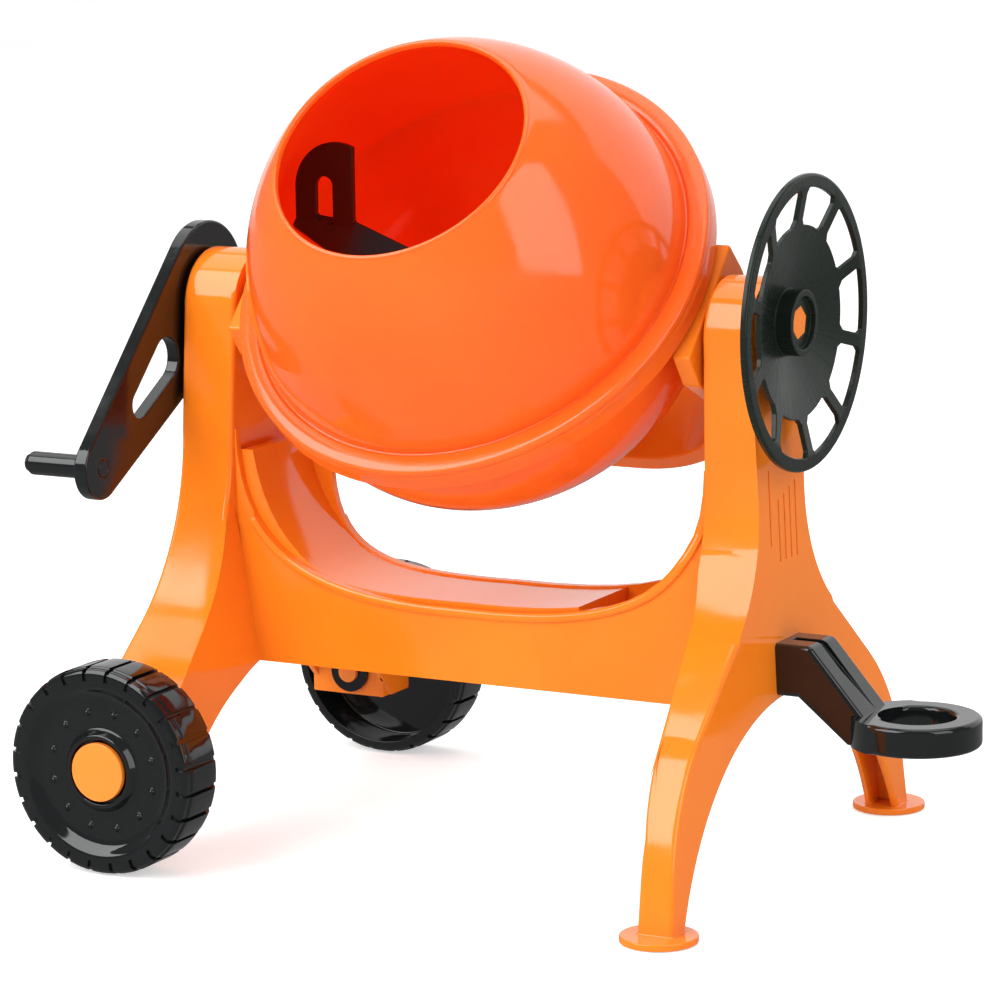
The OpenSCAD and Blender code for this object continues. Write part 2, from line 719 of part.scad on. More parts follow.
module crank_shaft() {
  head = crank_in + crank_t;
  color(zinc_grey) on_axis(-head) {
    translate([0, 0, -1]) cylinder(r = shaft_r, h = head - pinion_out + pinion_w + 1);
    translate([0, 0, -2.5]) cylinder(r = shaft_r + 3, h = 2.5);
  }
}

// Crank: a tapered plate with a drop-shaped window, between its shaft and its peg
module drop(r_0, r_1, l, t) {
  s = (r_0 - r_1) / l;
  side = [s, sqrt(1 - s ^ 2)];
  near = (r_0 - 0.05) * side;
  end = [l, 0] + (r_1 - 0.05) * side;
  along_x(0, t) circle(r_0);
  along_x(0, t) translate([l, 0]) circle(r_1);
  along_x(0, t) polygon([near, end, [end.x, -end.y], [near.x, -near.y]]);
}

module at_crank(x) { translate([x, 0, axis_z]) rotate([270 - crank_angle, 0, 0]) children(); }

module crank_arm() {
  color(gloss_black) at_crank(-crank_in - crank_t) difference() {
    drop(crank_r, crank_tip_r, crank_l, crank_t);
    translate([-1, 48, 0]) drop(10.2, 6.5, 29, crank_t + 2);
    along_x(-1, crank_t + 2) circle(shaft_r);
    along_x(-1, crank_t + 2) translate([crank_l, 0]) circle(peg_r - 1.5);
  }
}

module crank_peg() {
  color(gloss_black) at_crank(-crank_in - crank_t - peg_l) translate([0, crank_l, 0]) rotate([0, 90, 0]) {
    translate([0, 0, peg_r / 2]) cylinder(r = peg_r, h = peg_l - peg_r / 2);
    intersection() {
      translate([0, 0, peg_r * 1.25]) sphere(r = peg_r * 1.25);
      cylinder(r = peg_r, h = peg_r);
    }
    translate([0, 0, peg_l - 2.5]) cylinder(r = peg_r + 2, h = 2.5);
    cylinder(r = peg_r - 1.5, h = peg_l + crank_t);
  }
}

// Pinion on the crank shaft, with one tooth standing in a gap of the crown gear
module crank_pinion() {
  color(gloss_black) in_drum() translate([-pinion_out, 0, 0]) rotate([0, 90, 0]) difference() {
    union() {
      cylinder(r = pinion_root_r, h = pinion_w);
      intersection() {
        cylinder(r = pinion_tip_r, h = pinion_w);
        for (i = [0 : pinion_teeth - 1]) rotate(360 / pinion_teeth * i + 180)
          translate([pinion_root_r - 2, -tooth_w / 2, 0]) cube([tooth_h + 4, tooth_w, pinion_w]);
      }
    }
    translate([0, 0, -1]) cylinder(r = shaft_r, h = far);
  }
}

module pinion_washer() {
  gap = pinion_seat - pinion_out;
  color(zinc_grey) on_axis(0.1 - pinion_seat) tube(sleeve_r - 1, shaft_r, gap - 0.1);
}

// Upper half of the drum: dome, mouth bead and half of the girth flange
module dome_section(wall) {
  intersection() {
    translate([-dome_arc_x, dome_arc_h]) circle(dome_arc_r - wall);
    translate([0, split_h - (wall > 0 ? 1 : 0)]) square([far, mouth_h - split_h + (wall > 0 ? 2 : 0)]);
  }
}

module drum_dome() {
  color(drum_orange) in_drum() rotate_extrude() {
    difference() {
      union() {
        dome_section(0);
        translate([0, split_h]) square([flange_r, flange_t]);
      }
      dome_section(drum_wall);
      translate([0, mouth_h - 4]) square([mouth_r - 1.6 * lip_r, far]);
    }
    translate([mouth_r - 0.8 * lip_r, mouth_h - 0.4]) circle(lip_r);
  }
}

// Lower half of the drum: a bowl of two tangent arcs, with the other half of the flange
module bowl_section(wall) {
  turn = atan2(bowl_side_x, bowl_arc_h - bowl_mid_h) - 1.5;
  intersection() {
    translate([0, bowl_arc_h]) circle(bowl_arc_r - wall);
    translate([0, bowl_arc_h]) polygon([[0, 0], [0, -far], far * [sin(turn), -cos(turn)]]);
  }
  intersection() {
    translate([bowl_side_x, bowl_mid_h]) circle(bowl_side_r - wall);
    translate([0, -far]) square([far, far + bowl_mid_h]);
  }
  translate([0, bowl_mid_h - 20]) square([bowl_side_x, 20]);
  translate([0, bowl_mid_h]) square([bowl_r - wall, split_h - bowl_mid_h + wall]);
}

module drum_bowl() {
  color(drum_orange) in_drum() rotate_extrude() difference() {
    union() {
      difference() {
        union() {
          bowl_section(0);
          translate([0, gear_top]) square([flange_r, flange_t]);
        }
        bowl_section(drum_wall);
      }
      translate([0, boss_low]) square([boss_r, boss_high - boss_low]);
    }
    translate([0, -far]) square([spindle_r, far]);
  }
}

module crown_gear() {
  pitch = 360 / gear_teeth;
  color(drum_orange) in_drum() {
    rotate_extrude() polygon([
      [bowl_r, gear_root], [gear_out_r, gear_root], [gear_out_r, gear_skirt], [flange_r, gear_skirt],
      [flange_r, gear_top], [bowl_r, gear_top]]);
    translate([0, 0, gear_tip]) intersection() {
      tube(gear_out_r + 0.4, gear_in_r, tooth_h + 0.5);
      for (i = [0 : gear_teeth - 1]) rotate((i + 0.5) * pitch)
        translate([gear_in_r - 1, -tooth_w / 2, 0]) cube([gear_out_r - gear_in_r + 2, tooth_w, far]);
    }
  }
}

module drum_spindle() {
  color(zinc_grey) in_drum() {
    translate([0, 0, boss_high]) cylinder(r = boss_r - 2, h = 4);
    translate([0, 0, yoke_under - 7]) cylinder(r = spindle_r, h = boss_high - yoke_under + 8);
  }
}

module spindle_spacer() {
  color(zinc_grey) in_drum() translate([0, 0, yoke_floor + 0.2 + side_gap])
    tube(boss_r - 4, spindle_r, boss_low - yoke_floor - 0.2 - side_gap);
}

module spindle_nut() {
  color(zinc_grey) in_drum() translate([0, 0, yoke_under - side_gap - 5]) difference() {
    cylinder(r = spindle_r + 6, h = 5, $fn = 6);
    translate([0, 0, -1]) cylinder(r = spindle_r, h = 7);
  }
}

module paddle_post() {
  color(blade_brown) in_drum() translate([0, 0, boss_high + 4]) {
    cylinder(r = post_r, h = post_h - arm_t - boss_high - 4);
    cylinder(r = boss_r - 2, h = 6);
  }
}

// Mixing blade: an arm that climbs from the post to a foot, and an upright blade with an arched window
module paddle_blade() {
  foot_h = paddle_h + foot_rise;
  foot_v = blade_v + foot_rise * tan(lean) + 2;
  color(blade_brown) in_drum() {
    translate([0, 0, post_h - arm_t]) cylinder(r = post_r + 3, h = arm_t);
    intersection() {
      translate([0, arm_wide, 0]) rotate([90, 0, 0]) linear_extrude(2 * arm_wide) polygon([
        [0, post_h - arm_t], [0, post_h], [-arm_near, paddle_h], [-arm_far, foot_h],
        [-arm_far, foot_h - arm_t], [-arm_near, paddle_h - arm_t]]);
      linear_extrude(foot_h + 1) polygon([
        [1, -4], [-8, -7], [-arm_near, blade_v + 2], [-arm_far - 1, foot_v],
        [-arm_far - 1, blade_v - blade_t], [20 - arm_far, blade_v - 14], [-10, -22], [1, -9]]);
    }
    translate([blade_x, blade_v, paddle_h]) rotate([90 - lean, 0, 0]) translate([0, 0, -blade_t / 2])
      linear_extrude(blade_t) difference() {
        intersection() {
          polygon([[-blade_half, blade_rise - blade_root], [blade_half, -blade_root],
            [blade_half, blade_l], [-blade_half, blade_l]]);
          union() {
            translate([shoulder_r - blade_half, blade_l - shoulder_r]) circle(shoulder_r + arc_lap);
            translate([-blade_half - 1, -2 * blade_root])
              square([2 * blade_half + 2, blade_l - shoulder_r + 2 * blade_root]);
          }
        }
        translate([-slot_r, 0]) square([2 * slot_r, slot_l]);
        translate([0, slot_l]) circle(slot_r);
      }
  }
}

on_floor() right_tower();
on_floor() left_tower();
on_floor() front_panel();
on_floor() rear_panel();
on_floor() deck();
on_floor() chassis_screws();
on_floor() tow_hitch();
on_floor() hitch_pin();
on_floor() front_wheel();
on_floor() rear_wheel();
on_floor() front_wheel_pin();
on_floor() rear_wheel_pin();
on_floor() wheel_clips();
on_floor() yoke();
on_floor() tilt_axle();
on_floor() tilt_wheel();
on_floor() crank_sleeve();
on_floor() crank_shaft();
on_floor() crank_arm();
on_floor() crank_peg();
on_floor() crank_pinion();
on_floor() pinion_washer();
on_floor() drum_dome();
on_floor() drum_bowl();
on_floor() crown_gear();
on_floor() drum_spindle();
on_floor() spindle_spacer();
on_floor() spindle_nut();
on_floor() paddle_post();
on_floor() paddle_blade();
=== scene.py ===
"""Dressed model of a toy concrete mixer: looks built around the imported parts, in metres."""

import logging
import math
from dataclasses import dataclass, replace
from enum import Enum
from functools import cache
from typing import Callable

import bmesh
import bpy
import numpy as np
from mathutils import Matrix, Vector


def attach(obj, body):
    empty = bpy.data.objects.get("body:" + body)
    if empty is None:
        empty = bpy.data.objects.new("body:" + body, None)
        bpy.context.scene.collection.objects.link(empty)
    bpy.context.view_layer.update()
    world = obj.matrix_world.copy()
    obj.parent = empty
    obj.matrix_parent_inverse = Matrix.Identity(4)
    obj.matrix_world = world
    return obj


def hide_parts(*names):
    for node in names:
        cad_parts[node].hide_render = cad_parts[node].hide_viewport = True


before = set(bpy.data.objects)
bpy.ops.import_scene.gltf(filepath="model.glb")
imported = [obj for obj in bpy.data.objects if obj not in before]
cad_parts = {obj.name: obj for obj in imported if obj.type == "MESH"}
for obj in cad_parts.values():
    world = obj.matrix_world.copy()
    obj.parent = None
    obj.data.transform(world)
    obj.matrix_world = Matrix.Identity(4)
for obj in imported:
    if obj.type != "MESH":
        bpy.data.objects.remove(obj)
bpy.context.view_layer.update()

LOG = logging.getLogger("mixer")
MM = 0.001
TINY = 1e-6
FLAT_DEG = 0.3
SHARP_DEG = 25.0
JOIN_MM = 0.02
BRIDGE_STEPS = 5
WHITE = (1.0, 1.0, 1.0, 1.0)
Pair = tuple[float, float]
Triple = tuple[float, float, float]
Colour = Triple
Array = np.ndarray
Reach = Callable[[Array], Array]
Tree = bpy.types.NodeTree
Node = bpy.types.Node
Socket = bpy.types.NodeSocket


class Body(str, Enum):
    """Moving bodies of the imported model."""

    CHASSIS = "chassis"
    FRONT_WHEEL = "front_wheel"
    REAR_WHEEL = "rear_wheel"
    YOKE = "yoke"
    DRUM = "drum"
    CRANK = "crank"


class Slot(str, Enum):
    """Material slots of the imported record."""

    FRAME = "frame_orange"
    DRUM = "drum_orange"
    BLACK = "gloss_black"
    BROWN = "blade_brown"
    ZINC = "zinc"


@dataclass(frozen=True)
class Place:
    """Where the moving parts lie, in millimetres."""

    mid_x: float = 21.95
    axis_z: float = 248.5
    lean_deg: float = 47.0

    def drum_to_world(self, points: Array) -> Array:
        """Turns points of the drum's own frame into the world's, in metres.

        The frame leans forward about X by the lean angle, through the tilt axis.

        Args:
            points: array (..., 3) in millimetres, with the drum axis as the third column.

        Returns:
            Array of the same shape in metres.
        """
        lean = math.radians(self.lean_deg)
        x, v, h = points[..., 0], points[..., 1], points[..., 2]
        y = v * math.cos(lean) - h * math.sin(lean)
        z = v * math.sin(lean) + h * math.cos(lean) + self.axis_z
        return np.stack([x - self.mid_x, y, z], axis=-1) * MM

    def shift(self) -> Array:
        """What is added to world points to measure them from the drum axis, in millimetres."""
        return np.array([self.mid_x, 0.0, 0.0])

    def stand_to_world(self, points: Array) -> Array:
        """Moves points measured from the drum axis into the world, in metres."""
        return (points - self.shift()) * MM


PLACE = Place()


class Surface:
    """Meshes from whole arrays of points."""

    @staticmethod
    def arc(centre: Pair, radius: float, start: float, end: float, count: int) -> Array:
        """Points of a circle: centre + radius * (cos a, sin a), for a from start to end.

        Args:
            centre: middle of the circle.
            radius: radius of the circle.
            start: first angle in degrees.
            end: last angle in degrees.
            count: number of points.

        Returns:
            Array (count, 2).
        """
        angle = np.radians(np.linspace(start, end, count))
        return np.stack([centre[0] + radius * np.cos(angle), centre[1] + radius * np.sin(angle)], axis=-1)

    @staticmethod
    def rounded(corners: list[Triple]) -> Array:
        """A closed outline with rounded corners.

        Each corner (x, y, r) is cut back by r along both sides and bridged by the quadratic curve
        (1-t)^2 a + 2t(1-t) corner + t^2 b.

        Args:
            corners: corner points with their cut-back length.

        Returns:
            Array (n, 2) of the closed outline.
        """
        point = np.array([c[:2] for c in corners], float)
        reach = np.array([c[2] for c in corners], float)[:, None]
        before = np.roll(point, 1, axis=0) - point
        after = np.roll(point, -1, axis=0) - point
        start = point + before / np.linalg.norm(before, axis=1, keepdims=True) * reach
        end = point + after / np.linalg.norm(after, axis=1, keepdims=True) * reach
        t = np.linspace(0.0, 1.0, BRIDGE_STEPS)[None, :, None]
        curve = (1 - t) ** 2 * start[:, None] + 2 * t * (1 - t) * point[:, None] + t**2 * end[:, None]
        flat = curve.reshape(-1, 2)
        keep = np.linalg.norm(flat - np.roll(flat, 1, axis=0), axis=1) > TINY
        return flat[keep]

    @staticmethod
    def resample(outline: Array, step: Array) -> Array:
        """Adds points to a closed outline so that no side is longer than a step.

        Args:
            outline: closed outline (n, 2).
            step: longest side wanted, for each side (n,).

        Returns:
            Closed outline with the first points kept.
        """
        after = np.roll(outline, -1, axis=0)
        parts = np.maximum(np.ceil(np.linalg.norm(after - outline, axis=1) / step), 1).astype(int)
        owner = np.repeat(np.arange(len(outline)), parts)
        first = np.repeat(np.cumsum(parts) - parts, parts)
        share = ((np.arange(parts.sum()) - first) / parts[owner])[:, None]
        return outline[owner] * (1 - share) + after[owner] * share

    @staticmethod
    def revolve(outline: Array, count: int) -> Array:
        """Carries a closed (radius, height) outline round the third axis.

        Point (i, j) is (r_j cos a_i, r_j sin a_i, h_j).

        Args:
            outline: closed outline (m, 2) in millimetres.
            count: steps round the axis.

        Returns:
            Grid (count, m, 3) that closes both ways.
        """
        angle = np.linspace(0.0, 2 * np.pi, count, endpoint=False)[:, None]
        radius = outline[None, :, 0]
        height = np.broadcast_to(outline[None, :, 1], (count, len(outline)))
        return np.stack([radius * np.cos(angle), radius * np.sin(angle), height], axis=-1)

    @staticmethod
    def sweep(path: Array, side: Array, profile: Array, scale: Array) -> Array:
        """Carries a closed profile along a path.

        Ring i is path_i + scale_i (profile_x side_i + profile_y (tangent_i x side_i)).

        Args:
            path: points (n, 3) of the path.
            side: unit vectors (n, 3) across the path.
            profile: closed profile (m, 2).
            scale: size of the profile at each point (n,).

        Returns:
            Grid (n, m, 3) that closes across the path.
        """
        tangent = np.gradient(path, axis=0)
        tangent /= np.linalg.norm(tangent, axis=1, keepdims=True)
        other = np.cross(tangent, side)
        flat = scale[:, None, None] * (
            profile[None, :, :1] * side[:, None, :] + profile[None, :, 1:] * other[:, None, :]
        )
        return path[:, None, :] + flat

    @staticmethod
    def mesh(
        name: str, grid: Array, rows: bool = True, columns: bool = True, crease_deg: float = 40.0
    ) -> bpy.types.Mesh:
        """Makes a mesh of a grid of points, with the faces of a closed one pointing outwards.

        Args:
            name: name of the mesh.
            grid: points (n, m, 3) in metres.
            rows: whether the last row joins the first; the ends of a tube are capped.
            columns: whether the last column joins the first; an open sheet faces up.
            crease_deg: angle above which an edge stays sharp.

        Returns:
            The new mesh.
        """
        index = np.arange(grid.shape[0] * grid.shape[1]).reshape(grid.shape[:2])
        ahead = np.roll(index, -1, axis=0)
        corners = (index, ahead, np.roll(ahead, -1, axis=1), np.roll(index, -1, axis=1))
        cut = (slice(None) if rows else slice(-1), slice(None) if columns else slice(-1))
        quads = np.stack([corner[cut] for corner in corners], axis=-1).reshape(-1, 4)
        flat = grid.reshape(-1, 3)
        a, b, c, d = (flat[quads[:, k]] - flat.mean(axis=0) for k in range(4))
        normal = np.cross(c - a, d - b)
        outward = np.sum(normal * (a + b + c + d)) if columns else normal[:, 2].sum()
        faces = quads.tolist()
        if columns and not rows:
            faces += [index[0].tolist(), index[-1, ::-1].tolist()]
        made = bpy.data.meshes.new(name)
        made.from_pydata(flat.tolist(), [], faces if outward > 0 else [face[::-1] for face in faces])
        made.polygons.foreach_set("use_smooth", np.ones(len(made.polygons), bool))
        made.set_sharp_from_angle(angle=math.radians(crease_deg))
        made.update()
        return made


class Nodes:
    """A short way to place nodes in a node tree."""

    def __init__(self, tree: Tree) -> None:
        """Keeps the tree to fill."""
        self.tree = tree

    @classmethod
    def fresh(cls, owner: bpy.types.Material | bpy.types.World) -> "Nodes":
        """Empties the nodes of a material or a world.

        Args:
            owner: the material or world.

        Returns:
            Its nodes, ready to fill.
        """
        owner.use_nodes = True
        owner.node_tree.nodes.clear()
        return cls(owner.node_tree)

    def add(self, kind: str, settings: dict[str, object] | None = None, **inputs: object) -> Node:
        """Adds a node, sets its properties, and sets or links its inputs.

        Args:
            kind: node type.
            settings: properties of the node.
            **inputs: value or socket of each input, by its name with _ for a space, or by i and a number.

        Returns:
            The new node.
        """
        node = self.tree.nodes.new(kind)
        for key, value in (settings or {}).items():
            setattr(node, key, value)
        for key, value in inputs.items():
            numbered = key[0] == "i" and key[1:].isdigit()
            socket = node.inputs[int(key[1:]) if numbered else key.replace("_", " ")]
            if isinstance(value, Socket):
                self.tree.links.new(value, socket)
            else:
                socket.default_value = value
        return node

    def calc(self, operation: str, *values: object) -> Socket:
        """Adds a math node for some numbers or sockets and gives its result."""
        inputs = {"i%d" % k: value for k, value in enumerate(values)}
        return self.add("ShaderNodeMath", {"operation": operation}, **inputs).outputs[0]

    def by_ray(self, rest: Node, mirror: Node, camera: Node) -> Socket:
        """Chooses a shader by what looks at it.

        Args:
            rest: shader for all other rays.
            mirror: shader that mirrors see.
            camera: shader that the camera sees.

        Returns:
            The chosen shader.
        """
        path = self.add("ShaderNodeLightPath").outputs
        chosen = rest.outputs[0]
        for ray, seen in (("Is Glossy Ray", mirror), ("Is Camera Ray", camera)):
            mix = self.add("ShaderNodeMixShader", i0=path[ray], i1=chosen, i2=seen.outputs[0])
            chosen = mix.outputs[0]
        return chosen


class Effects:
    """Shared effects, each a node group built once."""

    @staticmethod
    def _start(name: str, inputs: dict[str, object], outputs: dict[str, str]) -> Tree:
        """Makes an empty group with named sockets.

        Args:
            name: name of the group.
            inputs: default of each input: a number, a colour, or None for a vector.
            outputs: kind of each output.

        Returns:
            The new group.
        """
        tree = bpy.data.node_groups.new(name, "ShaderNodeTree")
        for key, value in inputs.items():
            kind = "Float" if isinstance(value, float) else "Color" if value else "Vector"
            made = tree.interface.new_socket(name=key, in_out="INPUT", socket_type="NodeSocket" + kind)
            if value is not None:
                made.default_value = value
        for key, kind in outputs.items():
            tree.interface.new_socket(name=key, in_out="OUTPUT", socket_type="NodeSocket" + kind)
        return tree

    @staticmethod
    @cache
    def moulded_skin() -> Tree:
        """Moulded plastic: slow drift of tone, soft ripple of the skin, and hazy handling marks.

        Returns:
            Group with Colour, Roughness and Height.
        """
        inputs = {"Place": None, "Base": WHITE, "Deep": WHITE}
        inputs |= dict.fromkeys(("Drift", "Ripple", "Smooth", "Hazy"), 1.0)
        outputs = {"Colour": "Color", "Roughness": "Float", "Height": "Float"}
        tree = Effects._start("moulded_skin", inputs, outputs)
        n = Nodes(tree)
        given = n.add("NodeGroupInput").outputs
        where = given["Place"]
        drift = n.add("ShaderNodeTexNoise", Vector=where, Scale=given["Drift"], Detail=3.0, Roughness=0.55)
        soft = n.add("ShaderNodeMapRange", Value=drift.outputs["Fac"], From_Min=0.3, From_Max=0.72)
        tone = n.add(
            "ShaderNodeMix", {"data_type": "RGBA"}, i0=soft.outputs[0], i6=given["Base"], i7=given["Deep"]
        )
        ripple = n.add("ShaderNodeTexNoise", Vector=where, Scale=given["Ripple"], Detail=2.0)
        stretched = n.add(
            "ShaderNodeMapping", Vector=where, Scale=(60.0, 240.0, 900.0), Rotation=(0.5, 0.3, 0.9)
        ).outputs[0]
        scuff = n.add("ShaderNodeTexNoise", Vector=stretched, Scale=1.0, Detail=4.0, Roughness=0.7)
        lines = n.add("ShaderNodeMapRange", Value=scuff.outputs["Fac"], From_Min=0.62, From_Max=0.8)
        cloud = n.add("ShaderNodeTexNoise", Vector=where, Scale=42.0, Detail=3.0)
        haze = n.add("ShaderNodeMapRange", Value=cloud.outputs["Fac"], From_Min=0.45, From_Max=0.75)
        both = n.calc("MAXIMUM", haze.outputs[0], lines.outputs[0])
        rough = n.add("ShaderNodeMapRange", Value=both, To_Min=given["Smooth"], To_Max=given["Hazy"])
        height = ripple.outputs["Fac"]
        n.add("NodeGroupOutput", Colour=tone.outputs[2], Roughness=rough.outputs[0], Height=height)
        return tree

    @staticmethod
    @cache
    def turned_streaks() -> Tree:
        """Fine streaks that run out from an axis: noise over the angle atan2(z, y) and a little radius.

        Returns:
            Group with Mask.
        """
        inputs = {"Place": None, "Count": 60.0, "Along": 18.0}
        tree = Effects._start("turned_streaks", inputs, {"Mask": "Float"})
        n = Nodes(tree)
        given = n.add("NodeGroupInput").outputs
        split = n.add("ShaderNodeSeparateXYZ", Vector=given["Place"])
        angle = n.calc("ARCTAN2", split.outputs[2], split.outputs[1])
        turn = n.calc("MULTIPLY", angle, given["Count"])
        radius = n.add("ShaderNodeVectorMath", {"operation": "LENGTH"}, i0=given["Place"])
        along = n.calc("MULTIPLY", radius.outputs["Value"], given["Along"])
        spot = n.add("ShaderNodeCombineXYZ", X=turn, Y=along)
        noise = n.add("ShaderNodeTexNoise", Vector=spot.outputs[0], Scale=1.0, Detail=3.0, Roughness=0.6)
        sharp = n.add("ShaderNodeMapRange", Value=noise.outputs["Fac"], From_Min=0.4, From_Max=0.68)
        n.add("NodeGroupOutput", Mask=sharp.outputs[0])
        return tree


@dataclass(frozen=True)
class Finish:
    """A moulded plastic finish, or a plated one where metal is 1."""

    name: str
    slot: Slot
    base: Colour
    deep: Colour
    smooth: float = 0.09
    hazy: float = 0.17
    drift: float = 14.0
    ripple: float = 420.0
    bump: float = 0.035
    bump_d: float = 0.0006
    metal: float = 0.0
    ior: float = 1.58
    shine: float = 0.5
    # glow is an emission strength: painted light that brightens a surface beyond what the lamps give
    glow: float = 0.0
    depth: float = 0.0
    depth_scale: float = 0.004
    depth_colour: Colour = (1.0, 0.2, 0.05)
    streak_centre: Triple | None = None
    streak_haze: float = 0.16
    streak_lift: float = 0.6

    def material(self) -> bpy.types.Material:
        """Builds the material, or finds it if it was built before.

        Returns:
            The material.
        """
        found = bpy.data.materials.get(self.name)
        if found:
            return found
        made = bpy.data.materials.new(self.name)
        n = Nodes.fresh(made)
        where = n.add("ShaderNodeTexCoord").outputs["Object"]
        skin = n.add(
            "ShaderNodeGroup",
            {"node_tree": Effects.moulded_skin()},
            Place=where,
            Base=(*self.base, 1.0),
            Deep=(*self.deep, 1.0),
            Drift=self.drift,
            Ripple=self.ripple,
            Smooth=self.smooth,
            Hazy=self.hazy,
        )
        rough, height = skin.outputs["Roughness"], skin.outputs["Height"]
        if self.streak_centre:
            centre = tuple(-c for c in self.streak_centre)
            about = n.add("ShaderNodeMapping", Vector=where, Location=centre).outputs[0]
            streak = n.add("ShaderNodeGroup", {"node_tree": Effects.turned_streaks()}, Place=about)
            rough = n.calc("MULTIPLY_ADD", streak.outputs["Mask"], self.streak_haze, rough)
            height = n.calc("MULTIPLY_ADD", streak.outputs["Mask"], self.streak_lift, height)
        bump = n.add("ShaderNodeBump", Height=height, Strength=self.bump, Distance=self.bump_d)
        shader = n.add(
            "ShaderNodeBsdfPrincipled",
            Base_Color=skin.outputs["Colour"],
            Roughness=rough,
            Normal=bump.outputs[0],
            Metallic=self.metal,
            IOR=self.ior,
            Specular_IOR_Level=self.shine,
            # painted glow: emission of the base colour, off unless glow is above 0
            Emission_Color=(*(c * c for c in self.base), 1.0),
            Emission_Strength=self.glow,
            Subsurface_Weight=self.depth,
            Subsurface_Radius=self.depth_colour,
            Subsurface_Scale=self.depth_scale,
        )
        n.add("ShaderNodeOutputMaterial", Surface=shader.outputs[0])
        return made


FRAME_ORANGE = Finish("frame_orange_plastic", Slot.FRAME, (0.96, 0.24, 0.014), (0.93, 0.2, 0.01))
DRUM_ORANGE = Finish(
    "drum_orange_plastic", Slot.DRUM, (0.98, 0.145, 0.016), (0.97, 0.118, 0.012), drift=9.0, depth=0.35
)
# inside of the drum: the drum's finish with a painted glow, standing in for the light that bounces about
# inside the drum
DRUM_INSIDE_PAINTED_GLOW = replace(DRUM_ORANGE, name="drum_inside_painted_glow_plastic", glow=0.1)
CAP_ORANGE = Finish(
    "cap_orange_plastic", Slot.FRAME, (0.96, 0.26, 0.03), (0.93, 0.22, 0.02), smooth=0.16, hazy=0.26
)
GLOSS_BLACK = Finish(
    "gloss_black_plastic",
    Slot.BLACK,
    (0.006, 0.0075, 0.0078),
    (0.004, 0.005, 0.0052),
    smooth=0.06,
    hazy=0.16,
)
WHEEL_BLACK = Finish(
    "tilt_wheel_black_plastic",
    Slot.BLACK,
    (0.012, 0.018, 0.013),
    (0.008, 0.012, 0.009),
    smooth=0.14,
    hazy=0.24,
    bump=0.06,
    shine=0.2,
    streak_centre=(0.0, 0.0, PLACE.axis_z * MM),
)
BLADE_BROWN = Finish(
    "blade_brown_plastic", Slot.BROWN, (0.018, 0.005, 0.004), (0.012, 0.003, 0.003), smooth=0.18, hazy=0.3
)
ZINC = Finish(
    "zinc_plate",
    Slot.ZINC,
    (0.62, 0.63, 0.65),
    (0.496, 0.504, 0.52),
    smooth=0.22,
    hazy=0.42,
    ripple=1400.0,
    bump=0.08,
    bump_d=0.0003,
    metal=1.0,
)
DARK_STEEL = replace(ZINC, name="dark_steel", base=(0.06, 0.06, 0.065), deep=(0.048, 0.048, 0.052))


@dataclass
class Assembly:
    """A group of pieces that are built and dressed together."""

    name: str

    def log(self, piece: bpy.types.Object, note: str) -> None:
        """Reports a finished piece."""
        LOG.info("%s: %s, %s", self.name, piece.name, note)

    def dress(self, node: str, finish: Finish) -> None:
        """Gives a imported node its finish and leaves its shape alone.

        Args:
            node: name of the node.
            finish: finish to give it.
        """
        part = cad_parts[node]
        part.data.materials.clear()
        part.data.materials.append(finish.material())
        self.log(part, "dressed as packed")

    def soften(
        self, node: str, finish: Finish, body: Body, reach: float | Reach, segments: int = 3
    ) -> bpy.types.Object:
        """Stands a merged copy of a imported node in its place, with its edges rounded by a weighted bevel.

        Args:
            node: name of the node.
            finish: finish of the copy.
            body: body that carries it.
            reach: reach of the bevel in millimetres, or a rule that gives it for edge middles.
            segments: steps across the bevel.

        Returns:
            The new piece.
        """
        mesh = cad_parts[node].data.copy()
        mesh.name = node + "_soft"
        if "custom_normal" in mesh.attributes:
            mesh.attributes.remove(mesh.attributes["custom_normal"])
        work = bmesh.new()
        work.from_mesh(mesh)
        bmesh.ops.remove_doubles(work, verts=work.verts, dist=JOIN_MM * MM)
        bmesh.ops.dissolve_degenerate(work, dist=JOIN_MM * MM, edges=work.edges)
        flat = math.radians(FLAT_DEG)
        bmesh.ops.dissolve_limit(work, angle_limit=flat, verts=work.verts, edges=work.edges)
        fold = np.degrees([edge.calc_face_angle(0.0) for edge in work.edges])
        ends = np.array([(edge.verts[0].co + edge.verts[1].co)[:] for edge in work.edges])
        middle = ends / (2 * MM)
        wanted = reach(middle + PLACE.shift()) if callable(reach) else np.full(len(middle), float(reach))
        wanted = np.where(fold > SHARP_DEG, wanted, 0.0)
        most = wanted.max()
        layer = work.edges.layers.float.new("bevel_weight_edge")
        for edge, share, angle in zip(work.edges, wanted / max(most, TINY), fold):
            edge[layer] = share
            edge.smooth = bool(angle < SHARP_DEG or share > 0)
        work.to_mesh(mesh)
        work.free()
        mesh.materials.clear()
        mesh.polygons.foreach_set("use_smooth", np.ones(len(mesh.polygons), bool))
        piece = self.place(mesh.name, mesh, finish, body)
        if most > 0:
            bevel = piece.modifiers.new("round_edges", "BEVEL")
            bevel.width = most * MM
            bevel.segments = segments
            bevel.limit_method = "WEIGHT"
            bevel.use_clamp_overlap = False
            bevel.harden_normals = True
        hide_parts(node)
        self.log(piece, "edges rounded %.1f mm" % most)
        return piece

    def place(self, name: str, mesh: bpy.types.Mesh, finish: Finish, body: Body) -> bpy.types.Object:
        """Puts a mesh into the scene as a piece that rides on a body.

        Args:
            name: name of the piece.
            mesh: its mesh.
            finish: its finish.
            body: body that carries it.

        Returns:
            The new piece.
        """
        piece = bpy.data.objects.new(name, mesh)
        bpy.context.scene.collection.objects.link(piece)
        mesh.materials.append(finish.material())
        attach(piece, body.value)
        return piece


